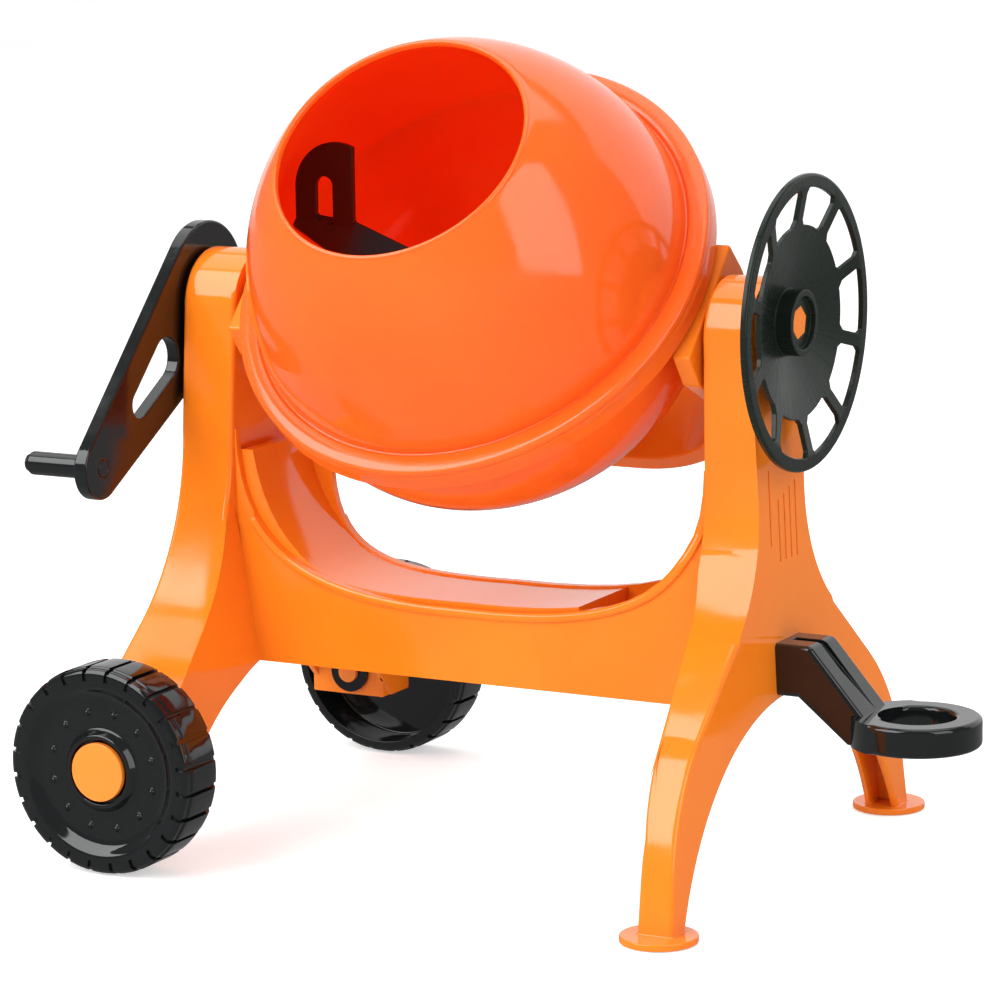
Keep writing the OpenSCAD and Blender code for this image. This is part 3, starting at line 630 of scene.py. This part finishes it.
@dataclass
class Stand(Assembly):
    """Towers, trough, tow hitch and their fasteners."""

    name: str = "stand"
    left_in: float = 122.5
    left_out: float = 150.5
    right_in: float = 117.0
    right_out_top: float = 139.0
    right_out_foot: float = 151.0
    leg_z: tuple[float, ...] = (0.0, 42.0, 86.0, 140.0)
    leg_in: tuple[float, ...] = (134.0, 134.0, 128.2, 117.0)
    foot_top: float = 3.1
    block_top: float = 82.0
    panel_y: float = 28.0
    panel_in_y: float = 25.0
    near: float = 0.4
    round_r: float = 2.4
    inner_share: float = 0.8
    low_r: float = 0.6
    slight_r: float = 0.3
    vent_y: float = 18.0
    vent_z: Pair = (84.0, 190.0)
    bore_r: float = 18.5
    joint_z: Pair = (95.0, 200.0)
    hitch_r: float = 2.2
    groove_r: float = 0.5
    groove_y: float = 2.7
    groove_x: float = 192.0
    root_x: Pair = (176.0, 196.0)
    root_z: float = 79.0
    plug_gap: float = 0.6
    rim_low: Pair = (112.5, 115.3)
    rim_sag: float = 1.5
    rim_high: float = 187.0
    rim_edge: float = 0.6
    rim_run: Pair = (80.0, 92.0)
    rim_knee: Pair = (130.0, 133.0)
    rear_knee: float = 122.0
    rear_post: float = 20.5
    rear_post_z: float = 172.0
    tuck_x: float = 12.0
    tuck_z: Pair = (138.0, 160.0)
    tuck_y: float = 6.0
    bead_run: Pair = (-0.72, 0.95)
    bead_h: float = 2.1
    bead_y: float = 1.5
    bead_lift: float = 0.3
    bead_tip: float = 0.02
    bead_steps: int = 121
    bead_sides: int = 24

    def right_out(self, z: Array) -> Array:
        """X of the right tower's drafted end face: a straight line from foot to top, by height."""
        return self.right_out_foot + (self.right_out_top - self.right_out_foot) * z / PLACE.axis_z

    def at_bore(self, p: Array) -> Array:
        """Which points lie round the tilt axle's bore."""
        return np.hypot(p[:, 1], p[:, 2] - PLACE.axis_z) < self.bore_r

    def right_edges(self, p: Array) -> Array:
        """Rounds the right tower's outline on its two large faces, and its foot plates less.

        Args:
            p: edge middles (n, 3) in millimetres.

        Returns:
            Reach of the bevel for each edge.
        """
        y, z = np.abs(p[:, 1]), p[:, 2]
        outer = np.abs(p[:, 0] - self.right_out(z)) < self.near
        inner = np.abs(p[:, 0] - np.interp(z, self.leg_z, self.leg_in)) < self.near
        vents = (y < self.vent_y) & (z > self.vent_z[0]) & (z < self.vent_z[1])
        joint = (z > self.joint_z[0]) & (z < self.joint_z[1])
        soft = np.where(joint, self.slight_r, self.inner_share * self.round_r)
        wanted = np.where(outer, self.round_r, np.where(inner, soft, 0.0))
        wanted = np.where(vents & outer, 0.0, np.where(self.at_bore(p), self.slight_r, wanted))
        return np.where(z < self.foot_top, self.low_r, wanted)

    def left_edges(self, p: Array) -> Array:
        """Rounds the left tower's outline on its two large faces, and its axle blocks less.

        Args:
            p: edge middles (n, 3) in millimetres.

        Returns:
            Reach of the bevel for each edge.
        """
        x, y = -p[:, 0], np.abs(p[:, 1])
        outer = np.abs(x - self.left_out) < self.near
        inner = (np.abs(x - self.left_in) < self.near) & (y > self.panel_in_y)
        wanted = np.where(outer | inner, self.round_r, 0.0)
        wanted = np.where(p[:, 2] < self.block_top, self.low_r, wanted)
        return np.where(self.at_bore(p), self.slight_r, wanted)

    def hitch_edges(self, p: Array) -> Array:
        """Rounds the hitch outside the tower, and the groove in its top less.

        Args:
            p: edge middles (n, 3) in millimetres.

        Returns:
            Reach of the bevel for each edge.
        """
        x, z = p[:, 0], p[:, 2]
        groove = (np.abs(p[:, 1]) < self.groove_y) & (x < self.groove_x)
        root = (x > self.root_x[0]) & (x < self.root_x[1]) & (z < self.root_z)
        plug = x < self.right_out(z) + self.plug_gap
        return np.where(plug | root, 0.0, np.where(groove, self.groove_r, self.hitch_r))

    def rim(self, rear: bool, t: Array) -> Array:
        """Points of a panel's rim, a cubic curve on each side.

        Each curve is (1-s)^3 a + 3s(1-s)^2 b + 3s^2(1-s) c + s^3 d.

        Args:
            rear: whether it is the rear panel.
            t: place along the rim, from -1 at the left end to 1 at the right end.

        Returns:
            Array (n, 2) of X and height in millimetres.
        """
        left, s = t < 0, np.abs(t)
        post = left & rear
        side = np.sign(t)
        half = (self.right_in + self.left_in) / 2
        reach = side * (half - np.where(post, self.rear_post, self.rim_edge))
        run = side * np.where(left, *self.rim_run)
        low = self.rim_low[1] if rear else self.rim_low[0]
        knee = np.where(post, self.rear_knee, np.where(left, *self.rim_knee))
        high = np.where(post, self.rear_post_z, self.rim_high)
        one, two, three, four = (1 - s) ** 3, 3 * s * (1 - s) ** 2, 3 * s**2 * (1 - s), s**3
        x = two * run + (three + four) * reach + (self.right_in - self.left_in) / 2
        z = one * low + two * (low - self.rim_sag) + three * knee + four * high
        return np.stack([x, z], axis=-1)

    def tuck(self, p: Array) -> Array:
        """Draws a panel's thin right tip in behind the tower: |y| less d s(z), with s = 3u^2 - 2u^3.

        Args:
            p: points (..., 3) in millimetres.

        Returns:
            The moved points.
        """
        u = np.clip((p[..., 2] - self.tuck_z[0]) / (self.tuck_z[1] - self.tuck_z[0]), 0.0, 1.0)
        share = (3 * u**2 - 2 * u**3) * (p[..., 0] > self.right_in - self.tuck_x)
        moved = p.copy()
        moved[..., 1] -= np.sign(p[..., 1]) * self.tuck_y * share
        return moved

    def build_panel(self, node: str) -> None:
        """Stands a panel in its place with its right tip tucked in.

        Args:
            node: name of the panel.
        """
        mesh = self.soften(node, FRAME_ORANGE, Body.CHASSIS, reach=0.0).data
        spot = np.empty(3 * len(mesh.vertices), np.float32)
        mesh.vertices.foreach_get("co", spot)
        moved = PLACE.stand_to_world(self.tuck(spot.reshape(-1, 3) / MM + PLACE.shift()))
        mesh.vertices.foreach_set("co", moved.astype(np.float32).ravel())
        mesh.update()

    def build_bead(self, rear: bool) -> None:
        """Builds a half-round bead along a panel's rim, tapered at its ends.

        Args:
            rear: whether it is the rear panel's.
        """
        t = np.linspace(*self.bead_run, self.bead_steps)
        line = self.rim(rear, t)
        tangent = np.gradient(line, axis=0)
        tangent /= np.linalg.norm(tangent, axis=1, keepdims=True)
        inward = np.stack([tangent[:, 1], -tangent[:, 0]], axis=-1)
        line = line + inward * self.bead_h
        face = (1.0 if rear else -1.0) * (self.panel_y + self.bead_lift)
        path = self.tuck(np.stack([line[:, 0], np.full(len(t), face), line[:, 1]], axis=-1))
        side = np.stack([inward[:, 0], np.zeros(len(t)), inward[:, 1]], axis=-1)
        angle = np.linspace(0.0, 2 * np.pi, self.bead_sides, endpoint=False)
        profile = np.stack([self.bead_h * np.cos(angle), self.bead_y * np.sin(angle)], axis=-1)
        away = np.concatenate([[0.0], np.cumsum(np.linalg.norm(np.diff(path, axis=0), axis=1))])
        near_end = np.clip(np.minimum(away, away[-1] - away) / self.bead_h, self.bead_tip, 1.0)
        scale = np.sqrt(1 - (1 - near_end) ** 2)
        name = "rear_rim_bead" if rear else "front_rim_bead"
        grid = PLACE.stand_to_world(Surface.sweep(path, side, profile, scale))
        piece = self.place(name, Surface.mesh(name, grid, rows=False), FRAME_ORANGE, Body.CHASSIS)
        self.log(piece, "swept along the rim")

    def build(self) -> None:
        """Builds and dresses the stand."""
        self.soften("right_tower", FRAME_ORANGE, Body.CHASSIS, reach=self.right_edges, segments=4)
        self.soften("left_tower", FRAME_ORANGE, Body.CHASSIS, reach=self.left_edges, segments=4)
        for node in ("front_panel", "rear_panel"):
            self.build_panel(node)
        self.soften("deck", FRAME_ORANGE, Body.CHASSIS, reach=0.0)
        for rear in (False, True):
            self.build_bead(rear)
        self.soften("tow_hitch", GLOSS_BLACK, Body.CHASSIS, reach=self.hitch_edges, segments=4)
        for node in ("chassis_screws", "hitch_pin"):
            self.dress(node, ZINC)
        self.dress("wheel_clips", DARK_STEEL)
        for node in ("front_wheel_pin", "rear_wheel_pin"):
            self.soften(node, CAP_ORANGE, Body.CHASSIS, reach=0.5)


@dataclass
class RoadWheels(Assembly):
    """The two road wheels."""

    name: str = "road wheels"
    wheel_x: float = 129.0
    wheel_in: float = 113.5
    wheel_r: float = 47.7
    wheel_w: float = 26.8
    tread_h: float = 2.4
    step_d: float = 0.9
    step_w: float = 4.0
    block_w: float = 4.4
    edge_w: float = 1.3
    draft: float = 0.2
    rim_w: float = 6.5
    rim_slope: float = 4.5
    tyre_t: float = 3.5
    slats: int = 24
    slat_share: float = 0.83
    slat_ends: Pair = (0.16, 0.84)
    slat_steps: int = 15
    ramp: tuple[float, ...] = (0.8, 0.9, 1.0, 1.1, 1.2)
    ramp_end: float = 1.1
    ramp_w: float = 0.2
    bore_r: float = 5.05
    hub_r: float = 10.0
    hub_in: float = -1.5
    seat_d: float = 3.0
    web_t: float = 3.0
    web_drop: float = 4.0
    web_step: float = 0.5
    wall_step: float = 6.0
    bumps: int = 12
    bump_ring: float = 27.0
    bump_r: float = 1.5
    cap_r: float = 13.4
    collar_gap: float = 1.5
    collar_w: float = 1.8
    collar_foot: float = 4.2
    collar_drop: float = 0.4
    collar_clear: float = 3.0
    notch_r: float = 3.2
    notch_w: float = 0.4
    notch_d: float = 1.3
    notch_face: float = 2.0
    crease_deg: float = 50.0

    def outline(self) -> Array:
        """Outline of a wheel through a tread block: radius, and distance out from the inner side.

        Returns:
            Closed outline (n, 2), with close points where the bumps are.
        """
        w, tyre, step = self.wheel_w, self.wheel_r - self.tread_h, self.wheel_r - self.step_d
        rim, high = tyre - self.rim_w, w - self.web_drop
        low, collar = high - self.web_t, self.cap_r + self.collar_gap
        wall, side, notch = tyre - self.tyre_t, tyre - self.draft, tyre - self.notch_r
        crown, seat = w - self.collar_drop, w - self.seat_d
        corners = [
            (self.bore_r, self.hub_in, 0.2), (self.hub_r, self.hub_in, 0.4), (self.hub_r, low, 0.8),
            (wall, low, 0.8), (wall, 0.0, 0.5), (side, 0.0, 0.8),
            (step, self.edge_w, 0.5), (step, self.step_w, 0.25), (self.wheel_r, self.block_w, 0.5),
            (self.wheel_r, w - self.block_w, 0.5), (step, w - self.step_w, 0.25),
            (step, w - self.edge_w, 0.5), (side, w, 1.2), (notch, w, 0.0), (notch - self.notch_w, w, 0.0),
            (rim, w, 1.6), (rim - self.rim_slope, high, 3.2), (collar + self.collar_foot, high, 1.2),
            (collar + self.collar_w, crown, 0.7), (collar, crown, 0.6), (collar, high, 0.2),
            (self.hub_r, high, 0.2), (self.hub_r, seat, 0.2), (self.bore_r, seat, 0.2),
        ]
        line = Surface.rounded(corners)
        level = np.abs(line[:, 1] - high) < TINY
        web = level & np.roll(level, -1) & (line[:, 0] > collar + self.collar_clear)
        return Surface.resample(line, np.where(web, self.web_step, self.wall_step))

    def grid(self) -> Array:
        """Points of a wheel about its own axis, in millimetres.

        The radius is r - g(a) max(0, r - tyre), with g = 1 in the gaps between tread blocks. The outer
        side is sunk by n g(a) beyond the notch radius. The web's height is h + sqrt(max(0, b^2 - d^2)),
        with d the distance to the nearest of the bumps of radius b.

        Returns:
            Grid (n, m, 3) that closes both ways.
        """
        line = self.outline()
        across, out = line[None, :, 0], line[None, :, 1]
        tyre = self.wheel_r - self.tread_h
        gap = (1 - self.slat_share) / 2
        ramp = gap * np.array(self.ramp)
        block = np.linspace(*self.slat_ends, self.slat_steps)
        share = np.concatenate([[0.0], ramp, block, 1 - ramp[::-1]])
        place = (np.arange(self.slats)[:, None] + share[None] - 0.5).reshape(-1, 1)
        angle = place * 2 * np.pi / self.slats
        from_gap = np.abs((angle * self.slats / (2 * np.pi) + 1.0) % 1.0 - 0.5)
        groove = np.clip((self.ramp_end * gap - from_gap) / (self.ramp_w * gap), 0.0, 1.0)
        radius = across - groove * np.maximum(across - tyre, 0.0)
        pitch = 2 * np.pi / self.bumps
        turn = (angle - pitch / 2) % pitch
        turn = np.minimum(turn, pitch - turn)
        away = (radius * np.sin(turn)) ** 2 + (radius * np.cos(turn) - self.bump_ring) ** 2
        on_web = np.abs(out - (self.wheel_w - self.web_drop)) < TINY
        bump = on_web * np.sqrt(np.maximum(self.bump_r**2 - away, 0.0))
        side = (across > tyre - self.notch_r - TINY) & (out > self.wheel_w - self.notch_face)
        height = out + bump - groove * side * self.notch_d
        return np.stack([radius * np.cos(angle), radius * np.sin(angle), height], axis=-1)

    def build(self) -> None:
        """Builds and dresses the wheels."""
        x, z, y = np.moveaxis(self.grid(), -1, 0)
        for node, body, side in (
            ("front_wheel", Body.FRONT_WHEEL, -1.0),
            ("rear_wheel", Body.REAR_WHEEL, 1.0),
        ):
            spot = np.stack([x - self.wheel_x, side * (y + self.wheel_in), z + self.wheel_r], axis=-1)
            mesh = Surface.mesh(node + "_tyre", PLACE.stand_to_world(spot), crease_deg=self.crease_deg)
            piece = self.place(node + "_tyre", mesh, GLOSS_BLACK, body)
            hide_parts(node)
            self.log(piece, "turned wheel with tread blocks")


@dataclass
class TiltGear(Assembly):
    """Yoke, axle, sleeve and tilt wheel."""

    name: str = "tilt gear"

    def build(self) -> None:
        """Builds and dresses the tilting parts."""
        self.soften("yoke", FRAME_ORANGE, Body.YOKE, reach=1.2, segments=4)
        self.soften("tilt_axle", FRAME_ORANGE, Body.YOKE, reach=0.4)
        self.soften("tilt_wheel", WHEEL_BLACK, Body.YOKE, reach=0.5)
        self.soften("crank_sleeve", FRAME_ORANGE, Body.YOKE, reach=0.3)


@dataclass
class Drum(Assembly):
    """Drum shells, crown gear, spindle and paddle."""

    name: str = "drum"
    mouth_r: float = 60.0
    mouth_h: float = 116.0
    lip_r: float = 1.2
    lip_in: float = 0.8
    lip_drop: float = 0.4
    dome_r: float = 102.0
    dome_arc_h: float = 18.0
    dome_foot: float = 1.0
    dome_top: float = 0.8
    inner_top: float = 1.6
    wall: float = 2.8
    flange_h: float = 31.0
    flange_r: float = 112.8
    flange_t: float = 3.5
    flange_under: tuple[Pair, ...] = ((-0.5, 0.0), (-0.1, 0.15), (0.0, 0.6))
    flange_over: tuple[Pair, ...] = ((0.0, -1.7), (-0.3, -0.9), (-1.0, -0.3), (-2.2, 0.0))
    groove: tuple[Pair, ...] = ((2.4, 0.0), (1.9, -0.2), (1.5, -0.9), (1.0, -1.3), (0.5, -1.3))
    seam: tuple[Pair, ...] = ((0.0, -0.6), (-0.15, -0.15), (-0.5, 0.0))
    bowl_r: float = 102.0
    bowl_mid_h: float = 4.0
    bowl_side_r: float = 66.0
    bowl_depth: float = 77.5
    boss_r: float = 16.0
    boss_foot: float = 2.0
    boss_head: float = 6.0
    spindle_r: float = 6.0
    steps: int = 288
    wall_steps: int = 60
    lip_steps: int = 11
    arc_steps: int = 40

    def dome_outline(self) -> tuple[Array, Array]:
        """Outline of the dome's wall: an arc, a bead at the mouth, and the arc less the wall inside.

        Returns:
            Closed outline (n, 2) of radius and height, and which of its sides lie inside the drum (n,).
        """
        top, low = self.mouth_h, self.flange_h
        rise = (top - self.dome_arc_h) ** 2 - (low - self.dome_arc_h) ** 2
        shift = (rise - self.dome_r**2 + self.mouth_r**2) / (2 * (self.dome_r - self.mouth_r))
        radius = math.hypot(self.dome_r + shift, low - self.dome_arc_h)
        split = low - self.flange_t

        def wall_arc(size: float, start_h: float, end_h: float) -> Array:
            """Points of an arc about the dome's arc centre between two heights."""
            height = np.linspace(start_h, end_h, self.wall_steps)
            return np.stack([np.sqrt(size**2 - (height - self.dome_arc_h) ** 2) - shift, height], axis=-1)

        flange = np.concatenate(
            [
                [[self.dome_r - self.wall, split]],
                np.add((self.flange_r, split), self.flange_under),
                np.add((self.flange_r, low), self.flange_over),
                np.add((self.dome_r, low), self.groove),
            ]
        )
        outer = wall_arc(radius, low - self.dome_foot, top - self.dome_top)
        lip = (self.mouth_r - self.lip_in * self.lip_r, top - self.lip_drop)
        bead = Surface.arc(lip, self.lip_r, 0, 180, self.lip_steps)
        inner = wall_arc(radius - self.wall, top - self.inner_top, split)[:-1]
        parts = (flange, outer, bead, inner)
        inside = np.repeat([False, False, False, True], [len(part) for part in parts])
        return np.concatenate(parts), inside

    def bowl_outline(self) -> tuple[Array, Array]:
        """Outline of the bowl's wall: two tangent arcs below a straight band, with the lower flange.

        Returns:
            Closed outline (n, 2) of radius and height, and which of its sides lie inside the drum (n,).
        """
        side_x = self.bowl_r - self.bowl_side_r
        drop = self.bowl_mid_h + self.bowl_depth
        big = (side_x**2 + drop**2 - self.bowl_side_r**2) / (2 * (drop - self.bowl_side_r))
        centre_h = big - self.bowl_depth
        turn = math.degrees(math.atan2(side_x, centre_h - self.bowl_mid_h)) - 90.0
        split = self.flange_h - self.flange_t
        low = split - self.flange_t
        foot, head = -self.bowl_depth - self.boss_foot, -self.bowl_depth + self.boss_head

        def arcs(wall: float) -> Array:
            """Points of the two arcs, less a wall, from the boss out and up to the band."""
            start = math.degrees(math.asin(self.boss_r / (big - wall))) - 90.0
            under = Surface.arc((0.0, centre_h), big - wall, start, turn, self.arc_steps)
            middle = (side_x, self.bowl_mid_h)
            flank = Surface.arc(middle, self.bowl_side_r - wall, turn, 0.0, self.arc_steps)
            return np.concatenate([under, flank[1:]])

        flange = np.concatenate(
            [
                [[self.bowl_r, low], [self.flange_r, low]],
                np.add((self.flange_r, split), self.seam),
                [[self.bowl_r - self.wall, split]],
            ]
        )
        boss = [[self.boss_r, head], [self.spindle_r, head], [self.spindle_r, foot], [self.boss_r, foot]]
        parts = (arcs(0.0), flange, arcs(self.wall)[::-1], boss)
        inside = np.roll(np.repeat([False, False, True, False], [len(part) for part in parts]), -1)
        return np.concatenate(parts), inside

    def build_shell(self, node: str, outline: Array, inside: Array) -> None:
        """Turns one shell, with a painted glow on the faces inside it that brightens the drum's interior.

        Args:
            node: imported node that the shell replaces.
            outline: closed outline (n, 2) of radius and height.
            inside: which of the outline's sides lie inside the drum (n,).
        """
        grid = PLACE.drum_to_world(Surface.revolve(outline, self.steps))
        mesh = Surface.mesh(node + "_shell", grid)
        piece = self.place(mesh.name, mesh, DRUM_ORANGE, Body.DRUM)
        # the inside faces take the second material, which glows with painted light
        mesh.materials.append(DRUM_INSIDE_PAINTED_GLOW.material())
        mesh.polygons.foreach_set("material_index", np.tile(inside, self.steps).astype(np.int32))
        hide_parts(node)
        self.log(piece, "turned shell")

    def build(self) -> None:
        """Builds and dresses the drum."""
        self.build_shell("drum_dome", *self.dome_outline())
        self.build_shell("drum_bowl", *self.bowl_outline())
        self.soften("crown_gear", DRUM_ORANGE, Body.DRUM, reach=0.15, segments=2)
        for node in ("drum_spindle", "spindle_spacer", "spindle_nut"):
            self.dress(node, ZINC)
        self.soften("paddle_post", BLADE_BROWN, Body.DRUM, reach=0.6)
        self.soften("paddle_blade", BLADE_BROWN, Body.DRUM, reach=0.5)


@dataclass
class Crank(Assembly):
    """Hand crank, its peg, shaft and pinion."""

    name: str = "crank"

    def build(self) -> None:
        """Builds and dresses the crank."""
        self.soften("crank_arm", GLOSS_BLACK, Body.CRANK, reach=1.0, segments=4)
        self.soften("crank_peg", GLOSS_BLACK, Body.CRANK, reach=0.5)
        self.soften("crank_pinion", GLOSS_BLACK, Body.CRANK, reach=0.3, segments=2)
        for node in ("crank_shaft", "pinion_washer"):
            self.dress(node, ZINC)


@dataclass(frozen=True)
class Softbox:
    """A rectangular lamp that looks at a point."""

    name: str
    at: Triple
    aim: Triple
    size: Pair
    power: float
    mirrored: bool = True

    def build(self) -> None:
        """Puts the lamp into the scene."""
        lamp = bpy.data.lights.new(self.name, "AREA")
        lamp.shape = "RECTANGLE"
        lamp.size, lamp.size_y = self.size
        lamp.energy = self.power
        box = bpy.data.objects.new(self.name, lamp)
        bpy.context.scene.collection.objects.link(box)
        box.visible_glossy = self.mirrored
        box.location = self.at
        box.rotation_euler = (Vector(self.aim) - Vector(self.at)).to_track_quat("-Z", "Y").to_euler()


@dataclass
class Studio:
    """Floor, backdrop, lamps and the camera."""

    azimuth_deg: float = 28.24
    elevation_deg: float = 9.9
    roll_deg: float = -0.71
    distance: float = 1.9277
    target: Triple = (-0.01902, -0.00113, 0.17763)
    focal_px: float = 4220.9
    frame_px: float = 1000.0
    centre_px: float = 458.6
    sensor_mm: float = 36.0
    far: float = 50.0
    ambient: float = 0.6
    mirrored: float = 0.2
    floor_mirrored: float = 0.3
    backdrop_mirrored: float = 1.0
    backdrop_y: Pair = (2.2, 5.0)
    floor_glow: float = 0.5
    floor_tone: Pair = (0.79, 0.81)
    floor_grain: float = 3.0
    floor_front: float = -5.0
    floor_drop: float = 0.0004
    floor_rows: int = 13
    half_width: float = 6.0
    bend_y: float = 4.0
    bend_r: float = 1.5
    bend_steps: int = 24
    wall_top: float = 6.0
    boxes: tuple[Softbox, ...] = (
        Softbox("key_box", (-1.035, -1.6, 1.72), (0.0, 0.0, 0.42), (2.0, 1.9), 49.0),
        Softbox("side_box", (1.9, -0.6, 1.0), (0.0, 0.0, 0.2), (1.2, 1.8), 14.0),
        Softbox("top_box", (-0.4, 0.4, 2.1), (-0.4, 0.0, 0.2), (2.8, 1.6), 20.0),
        Softbox("front_fill", (-0.4, -1.7, 0.9), (0.0, 0.0, 0.2), (1.0, 0.8), 8.0, mirrored=False),
    )

    def build(self) -> None:
        """Builds the whole studio."""
        self.build_world()
        self.build_floor()
        for box in self.boxes:
            box.build()
        self.build_camera()
        bpy.context.scene.view_settings.view_transform = "Standard"

    def build_world(self) -> None:
        """White for the camera, a dim level for mirrors, and a plain ambient level for the rest."""
        world = bpy.data.worlds.new("studio")
        bpy.context.scene.world = world
        n = Nodes.fresh(world)
        plain, seen, white = (
            n.add("ShaderNodeBackground", Color=WHITE, Strength=level)
            for level in (self.ambient, self.mirrored, 1.0)
        )
        n.add("ShaderNodeOutputWorld", Surface=n.by_ray(plain, seen, white))

    def build_floor(self) -> None:
        """A white floor that turns up into a backdrop: straight, a quarter circle, and straight again."""
        bend = Surface.arc((self.bend_y, self.bend_r), self.bend_r, -90.0, 0.0, self.bend_steps)
        top = [self.bend_y + self.bend_r, self.wall_top]
        line = np.concatenate([[[self.floor_front, 0.0], [0.0, 0.0]], bend, [top]])
        across = np.linspace(-self.half_width, self.half_width, self.floor_rows)
        grid = np.empty((len(across), len(line), 3))
        grid[..., 0] = across[:, None]
        grid[..., 1:] = line[None]
        grid[..., 2] -= self.floor_drop
        mesh = Surface.mesh("studio_floor", grid, rows=False, columns=False)
        mesh.materials.append(self.floor_material())
        floor = bpy.data.objects.new("studio_floor", mesh)
        bpy.context.scene.collection.objects.link(floor)

    def floor_material(self) -> bpy.types.Material:
        """White floor: a diffuse sheet, lifted to plain white for the camera.

        In mirrors it has a set brightness, which grows from the floor to the backdrop.

        Returns:
            The material.
        """
        made = bpy.data.materials.new("studio_floor_white")
        n = Nodes.fresh(made)
        where = n.add("ShaderNodeTexCoord").outputs["Object"]
        noise = n.add("ShaderNodeTexNoise", Vector=where, Scale=self.floor_grain)
        dark, pale = self.floor_tone
        tone = n.add("ShaderNodeMapRange", Value=noise.outputs["Fac"], To_Min=dark, To_Max=pale)
        sheet = n.add("ShaderNodeBsdfDiffuse", Color=tone.outputs[0])
        glow = n.add("ShaderNodeEmission", Color=WHITE, Strength=self.floor_glow)
        lit = n.add("ShaderNodeAddShader", i0=sheet.outputs[0], i1=glow.outputs[0])
        split = n.add("ShaderNodeSeparateXYZ", Vector=where)
        level = n.add(
            "ShaderNodeMapRange",
            Value=split.outputs["Y"],
            From_Min=self.backdrop_y[0],
            From_Max=self.backdrop_y[1],
            To_Min=self.floor_mirrored,
            To_Max=self.backdrop_mirrored,
        )
        seen = n.add("ShaderNodeEmission", Color=WHITE, Strength=level.outputs[0])
        n.add("ShaderNodeOutputMaterial", Surface=n.by_ray(sheet, seen, lit))
        return made

    def build_camera(self) -> None:
        """A long lens at the photograph's angle, with the small roll and shift of its framing."""
        a, e = math.radians(self.azimuth_deg), math.radians(self.elevation_deg)
        r = math.radians(self.roll_deg)
        back = Vector((math.sin(a) * math.cos(e), -math.cos(a) * math.cos(e), math.sin(e)))
        right = Vector((math.cos(a), math.sin(a), 0.0))
        up = back.cross(right)
        across = right * math.cos(r) + up * math.sin(r)
        upward = up * math.cos(r) - right * math.sin(r)
        lens = bpy.data.cameras.new("photo_camera")
        lens.sensor_width = self.sensor_mm
        lens.lens = self.sensor_mm * self.focal_px / self.frame_px
        lens.shift_y = -(self.frame_px / 2 - self.centre_px) / self.frame_px
        lens.clip_end = self.far
        camera = bpy.data.objects.new("photo_camera", lens)
        bpy.context.scene.collection.objects.link(camera)
        turn = Matrix((across, upward, back)).transposed().to_4x4()
        turn.translation = Vector(self.target) + back * self.distance
        camera.matrix_world = turn
        bpy.context.scene.camera = camera


def main() -> None:
    """Builds every sub-assembly in order, then the studio."""
    logging.basicConfig(level=logging.INFO, format="%(message)s")
    for assembly in (Stand(), RoadWheels(), TiltGear(), Drum(), Crank()):
        assembly.build()
    Studio().build()


if __name__ == "__main__":
    main()
